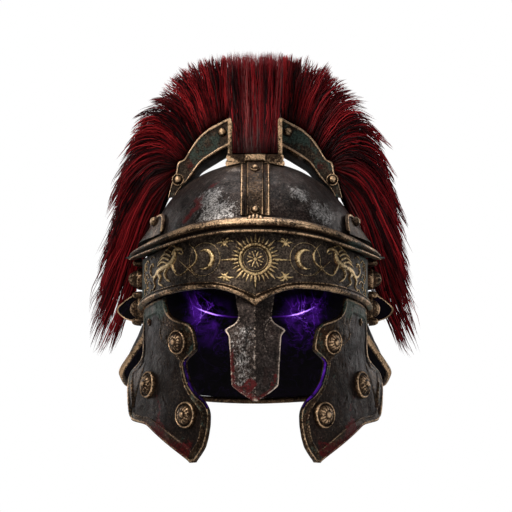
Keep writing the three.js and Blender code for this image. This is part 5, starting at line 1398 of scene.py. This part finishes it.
def strands(name, path, radius, tone, dust, slot_name, stands_for=()):
    """Closed three-sided bristles: path is (strands, rings, 3), thinning to a point."""
    n, rings = path.shape[:2]
    along = np.linspace(0, 1, rings)
    tangent = np.gradient(path, axis=1)
    tangent /= np.maximum(np.linalg.norm(tangent, axis=-1, keepdims=True), 1e-9)
    side = np.cross(tangent, np.array([0.31, -0.9, 0.3]))
    side /= np.maximum(np.linalg.norm(side, axis=-1, keepdims=True), 1e-9)
    other = np.cross(tangent, side)
    thin = (1 - 0.72 * along ** 2.2)[None, :-1, None, None] * radius[:, None, None, None]
    turn = np.arange(3) * 2 * math.pi / 3
    ring = path[:, :-1, None] + thin * (side[:, :-1, None] * np.cos(turn)[None, None, :, None] + other[:, :-1, None] * np.sin(turn)[None, None, :, None])
    each = (rings - 1) * 3 + 1
    V = np.concatenate([ring.reshape(n, -1, 3), path[:, -1:]], axis=1)
    base = (np.arange(n) * each)[:, None]
    quads, tris = [], []
    for r in range(rings - 2):
        for k in range(3):
            j = (k + 1) % 3
            quads.append([r * 3 + k, r * 3 + j, r * 3 + 3 + j, r * 3 + 3 + k])
    last = (rings - 2) * 3
    for k in range(3):
        tris.append([last + k, last + (k + 1) % 3, each - 1])
    tris.append([0, 2, 1])
    Q = (base[:, None] + np.array(quads)[None]).reshape(-1, 4)
    T = (base[:, None] + np.array(tris)[None]).reshape(-1, 3)
    al = np.concatenate([np.repeat(along[:-1], 3), [1.0]])
    attrs = {"tone": np.repeat(tone, each), "dust": np.repeat(dust, each), "along": np.tile(al, n)}
    return piece(name, V.reshape(-1, 3), Q, T, mats=(HAIR,), slot=slot_name, attrs=attrs, sharp=None, stands_for=stands_for)


BOX_LOW, BOX_HIGH = np.array([-144.0, -129.0, -72.0]), np.array([144.0, 169.0, 189.5])


def wings():
    for name, sign in SIDES:
        rng = np.random.default_rng(41 if sign > 0 else 43)
        # even spread over the fan: more bristles where the tips lie further apart
        t_all = np.linspace(0, 1.08, 400)
        tips = wing_line(t_all, np.ones(400))
        speed = np.linalg.norm(np.gradient(tips, axis=0), axis=1) + 0.18
        cdf = np.cumsum(speed); cdf /= cdf[-1]
        for part in range(2):
            clumps = 150
            ct = np.interp(rng.random(clumps), cdf, t_all)
            ct[:9] = 0.004
            ct[9:30] = rng.random(21) * 0.3
            cv = np.where(rng.random(clumps) < 0.36, rng.random(clumps) * 0.25, rng.random(clumps))
            ctone = rng.random(clumps)
            csway = rng.normal(0, 1, (clumps, 3))
            cwave = rng.random((clumps, 2)) * 6.283
            clen = 1.02 - 0.2 * rng.random(clumps) ** 2
            n, rings = 1640, 12
            c = rng.integers(0, clumps, n)
            t = ct[c] + rng.normal(0, 0.03, n)
            v = np.clip(cv[c] + rng.normal(0, 0.07, n), 0, 1)
            stray = rng.random(n) < 0.035
            t = np.where(stray, np.interp(rng.random(n), cdf, t_all), t)
            length = clen[c] * (1 - 0.3 * rng.random(n) ** 2.0)
            length = np.where(stray, 0.8 + 0.24 * rng.random(n), length)
            length = np.where((t < 0.36) & ~stray, np.maximum(length, 0.93 + 0.09 * rng.random(n)), length)
            short = rng.random(n) < 0.2
            length = np.where(short, length * (0.45 + 0.4 * rng.random(n)), length)
            s = np.linspace(0, 1, rings)[None] * length[:, None]
            start = rng.random(n) * 0.05
            s = start[:, None] + s * (1 - start[:, None])
            T = np.broadcast_to(t[:, None], s.shape)
            # bristles of one tuft draw together towards its middle
            pull = (s ** 1.3) * 0.86 * (~stray)[:, None]
            T = T + (ct[c][:, None] - T) * pull
            VV = v[:, None] + (cv[c][:, None] - v[:, None]) * pull
            P2 = wing_line(T, s)
            over = np.maximum(s - 1, 0)
            y_root = -5 + 29 * v
            y = y_root[:, None] + (wing_depth(P2[..., 1], VV) - y_root[:, None]) * np.clip(s * 1.5, 0, 1) ** 0.8
            P = np.stack([P2[..., 0], y, P2[..., 1]], -1)
            sway = csway[c][:, None] * (s ** 1.6)[..., None] * np.array([3.4, 3.6, 3.4])
            wave = np.sin(s * (12.0 + 7.0 * cwave[c, 1][:, None] / 6.283) + cwave[c, 0][:, None]) * 2.1 * s ** 0.8 + rng.normal(0, 0.42, (n, rings)) * (s > 0.1)
            frizz = rng.normal(0, 1, (n, 1, 3)) * (s * (1.15 - s) * 2.6)[..., None] * 1.5 + rng.normal(0, 0.2, (n, rings, 3)) * (s > 0.12)[..., None]
            calm = np.interp(t, [0.0, 0.35, 0.6], [0.4, 0.5, 1.0])[:, None]
            wave = wave * calm
            P = P + (sway + frizz * np.where(stray, 1.5, 1.0)[:, None, None]) * calm[..., None]
            P[..., 0] += wave * 0.7
            P[..., 2] += wave * 0.6 - 2.0 * (s ** 3) * (t > 0.3)[:, None]
            # keep clear of the dome and the ears
            low = P[..., 2] < 66
            room = A * np.sqrt(np.clip(1 - (np.maximum(P[..., 2], 0) / C) ** 2, 0, 1)) + 4.5 + np.where(P[..., 2] < 0, 5, 0)
            P[..., 0] = np.where(low & (-P[..., 0] < room), -room, P[..., 0])
            P = np.clip(P, BOX_LOW, BOX_HIGH)
            radius = (0.42 + 0.38 * rng.random(n) ** 1.5) * np.interp(t, [0.5, 0.9], [1.0, 1.22])
            # painted light in the tone: strands at the front and in the upper part of the fan are lighter, the lower
            # strands darker
            tone = np.clip(0.0 + 0.8 * ctone[c] ** 1.7 + rng.normal(0, 0.17, n) + 0.08 * (v < 0.25) + 0.1 * (t < 0.35), 0, 1)
            tone = tone * np.interp(t, [0.5, 0.95], [1.0, 0.8])
            dust = np.where(rng.random(n) < 0.02, 0.12, 0.0)
            P = mirror(P, sign)
            strands("plume_bristles_%s_%s" % ("ab"[part], name), P, radius, tone, dust, "bristle", ("plume_" + name,) if part == 0 else ())
        # dark core sheet of painted shade inside the brush, so that no daylight shows through
        tt, ss = np.meshgrid(np.linspace(0.0, 1.04, 40), np.linspace(0.0, 0.5, 14), indexing="ij")
        ss = ss * np.interp(tt, [0.45, 0.8], [1.0, 1.24])
        P2 = wing_line(tt, ss)
        face = lambda v: np.stack([P2[..., 0], wing_depth(P2[..., 1], v) * np.clip(0.2 + ss * 2, 0, 1) + (8 + 8 * (v - 0.5) * 2) * (1 - np.clip(0.2 + ss * 2, 0, 1)), P2[..., 1]], -1)
        near, far = face(0.3), face(0.7)
        near[..., 1] += cloud(near, 11, 2, 70) * 2.5
        near[..., 0] += cloud(near, 9, 2, 71) * 1.5
        V, q = wall(mirror(near, sign), mirror(far, sign))
        piece("plume_shade_sheet_" + name, V, q, mats=(HAIR_SHADE,), slot="bristle", sharp=None)


wings()


def centre_brush():
    rng = np.random.default_rng(77)
    ys = np.array([-57, -45, -28, -8, 14, 34, 50, 57], float)
    tops = np.array([172, 178, 184.5, 188, 187.5, 180, 168, 158], float)
    n, rings = 2700, 8
    clumps = 120
    cy = np.where(np.arange(clumps) < 26, -56 + 9 * rng.random(clumps), -56 + 112 * (np.arange(clumps) * 0.618 % 1))
    cx = np.where(np.arange(clumps) < 26, (rng.random(clumps) * 2 - 1) * 17.5, np.sign(rng.random(clumps) - 0.5) * 17.5 * (1 - rng.random(clumps) ** 1.1 * 0.97))
    ctone = rng.random(clumps)
    csway = rng.normal(0, 1, (clumps, 2))
    c = rng.integers(0, clumps, n)
    x0 = np.clip(cx[c] + rng.normal(0, 2.2, n), -18.2, 18.2)
    y0 = np.clip(cy[c] + rng.normal(0, 3.4, n), -53.5, 53.5)
    s = np.linspace(0, 1, rings)[None]
    top = np.interp(y0, ys, tops) - 1.0
    length = 1 - 0.1 * rng.random(n) ** 2
    short = rng.random(n) < 0.22
    length = np.where(short, 0.55 + 0.4 * rng.random(n), length)
    base = crown_line(y0) + 8.6
    z = base[:, None] + (top - base)[:, None] * s * length[:, None]
    fan = 1 + 0.34 * s ** 1.2
    pull = 0.62 * s ** 1.5
    x = (x0[:, None] * (1 - pull) + cx[c][:, None] * pull) * fan
    y = (y0[:, None] * (1 - pull) + cy[c][:, None] * pull) * (1 + 0.06 * s)
    wave = np.sin(s * 4 + 6.283 * rng.random(n)[:, None]) * 0.5 * s
    x = x + csway[c, 0][:, None] * s ** 1.6 * 1.3 + rng.normal(0, 1, (n, 1)) * s ** 1.5 * 1.1 + wave + rng.normal(0, 0.5, (n, rings))
    y = y + csway[c, 1][:, None] * s ** 1.6 * 1.5 + rng.normal(0, 1, (n, 1)) * s ** 1.5 * 1.2
    P = np.stack([x, y, z], -1)
    P[..., 0] = np.clip(P[..., 0], -24, 24)
    P[..., 1] = np.clip(P[..., 1], -61, 61)
    inside = P[..., 2] < (crown_line(np.clip(P[..., 1], -54, 54)) + 38.6)
    P[..., 0] = np.where(inside, np.clip(P[..., 0], -18.8, 18.8), P[..., 0])
    P[..., 2] = np.minimum(P[..., 2], 189.5)
    radius = 0.4 + 0.26 * rng.random(n)
    dusty = np.clip(np.exp(-((x0 + 2.5) / 6.5) ** 2) * (y0 < -44), 0, 1)
    # painted shade in the tone: strands on the +X side, away from the key light, are darker
    tone = np.clip(0.08 + 0.7 * ctone[c] ** 1.3 + rng.normal(0, 0.17, n) - 0.14 * (x0 > 6), 0, 1)
    dust = np.where(rng.random(n) < 0.012 + 0.42 * dusty, 0.08 + 0.3 * rng.random(n), 0.0)
    strands("plume_bristles_centre", P, radius, tone, dust, "bristle", ("plume_centre",))
    # dark core sheet of painted shade inside the centre brush
    yy = np.linspace(-48, 48, 34)
    uu = np.linspace(0, 1, 14)
    Y, U = np.meshgrid(yy, uu, indexing="ij")
    top = np.interp(Y, ys, tops) - 34
    base = crown_line(Y) + 8.4
    Z = base + (top - base) * U
    half = 13.5 + 1.5 * U
    left = np.stack([-half, Y * (1 - 0.02 * U), Z], -1)
    left[..., 0] += cloud(left, 8, 2, 72) * 1.2
    V, q = wall(left, left * np.array([-1, 1, 1.0]))
    piece("plume_shade_sheet_centre", V, q, mats=(HAIR_SHADE,), slot="bristle", sharp=None)


centre_brush()


# ---------------------------------------------------------------- floor, light, camera
def area(name, place_at, target, size, watts, colour=(1, 1, 1)):
    light = bpy.data.lights.new(name, "AREA")
    light.shape = "RECTANGLE"
    light.size, light.size_y = size
    light.energy = watts
    light.color = colour
    o = bpy.data.objects.new(name, light)
    bpy.context.scene.collection.objects.link(o)
    o.location = place_at
    o.rotation_euler = (Vector(target) - Vector(place_at)).to_track_quat("-Z", "Y").to_euler()
    return o


MIDDLE = (0, 0.0, -0.08)
area("key", (-0.75, -1.25, 0.75), MIDDLE, (0.7, 0.7), 12.5, (1, 0.97, 0.93))
area("fill", (1.2, -1.0, 0.1), MIDDLE, (0.9, 0.9), 4.2, (0.95, 0.97, 1))
area("top", (0, 0.1, 1.3), MIDDLE, (0.9, 0.9), 10)
area("low", (0, -1.1, -0.7), (0, 0, -0.15), (0.8, 0.4), 2.2)
area("rim_left", (-1.1, 0.9, 0.3), MIDDLE, (0.4, 0.9), 3)
area("rim_right", (1.1, 0.9, 0.3), MIDDLE, (0.4, 0.9), 3)

world = bpy.data.worlds.new("studio")
bpy.context.scene.world = world
world.use_nodes = True
wt = world.node_tree
wt.nodes.clear()
ray = wt.nodes.new("ShaderNodeLightPath")
grey = wt.nodes.new("ShaderNodeBackground")
grey.inputs[0].default_value, grey.inputs[1].default_value = (0.75, 0.78, 0.82, 1), 0.12
white = wt.nodes.new("ShaderNodeBackground")
white.inputs[0].default_value, white.inputs[1].default_value = (1, 1, 1, 1), 1.0
choose = wt.nodes.new("ShaderNodeMixShader")
wout = wt.nodes.new("ShaderNodeOutputWorld")
wt.links.new(ray.outputs["Is Camera Ray"], choose.inputs[0])
wt.links.new(grey.outputs[0], choose.inputs[1])
wt.links.new(white.outputs[0], choose.inputs[2])
wt.links.new(choose.outputs[0], wout.inputs[0])

floor_material, nt, shader = tree("pale_floor")
grain = noise(nt, place(nt), 3.0, 3)
put(nt, shader.inputs["Base Color"], mix(nt, grain, (0.8, 0.79, 0.78), (0.86, 0.85, 0.84)))
shader.inputs["Roughness"].default_value = 0.9
seen = nt.nodes.new("ShaderNodeLightPath")
put(nt, shader.inputs["Emission Color"], (0.86, 0.85, 0.84))
put(nt, shader.inputs["Emission Strength"], maths(nt, "MULTIPLY", seen.outputs["Is Camera Ray"], 0.6))
me = bpy.data.meshes.new("floor")
me.from_pydata([(-4, -4, -0.75), (4, -4, -0.75), (4, 4, -0.75), (-4, 4, -0.75)], [], [(0, 1, 2, 3)])
me.materials.append(floor_material)
floor = bpy.data.objects.new("floor", me)
bpy.context.scene.collection.objects.link(floor)
floor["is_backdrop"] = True

lens = bpy.data.cameras.new("camera")
lens.sensor_width = 36
lens.lens = 122.6
lens.clip_start, lens.clip_end = 0.05, 50
camera = bpy.data.objects.new("camera", lens)
bpy.context.scene.collection.objects.link(camera)
camera.location = (0.00077, -1.4672, -0.3881)
camera.rotation_euler = (math.radians(102), 0, 0)
bpy.context.scene.camera = camera
bpy.context.scene.view_settings.view_transform = "Standard"

bpy.context.view_layer.update()
total = 0
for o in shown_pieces():
    count = sum(len(p.vertices) - 2 for p in o.data.polygons)
    total += count
    if count > 60000:
        print("triangles", o.name, count)
print("triangles in all", total)
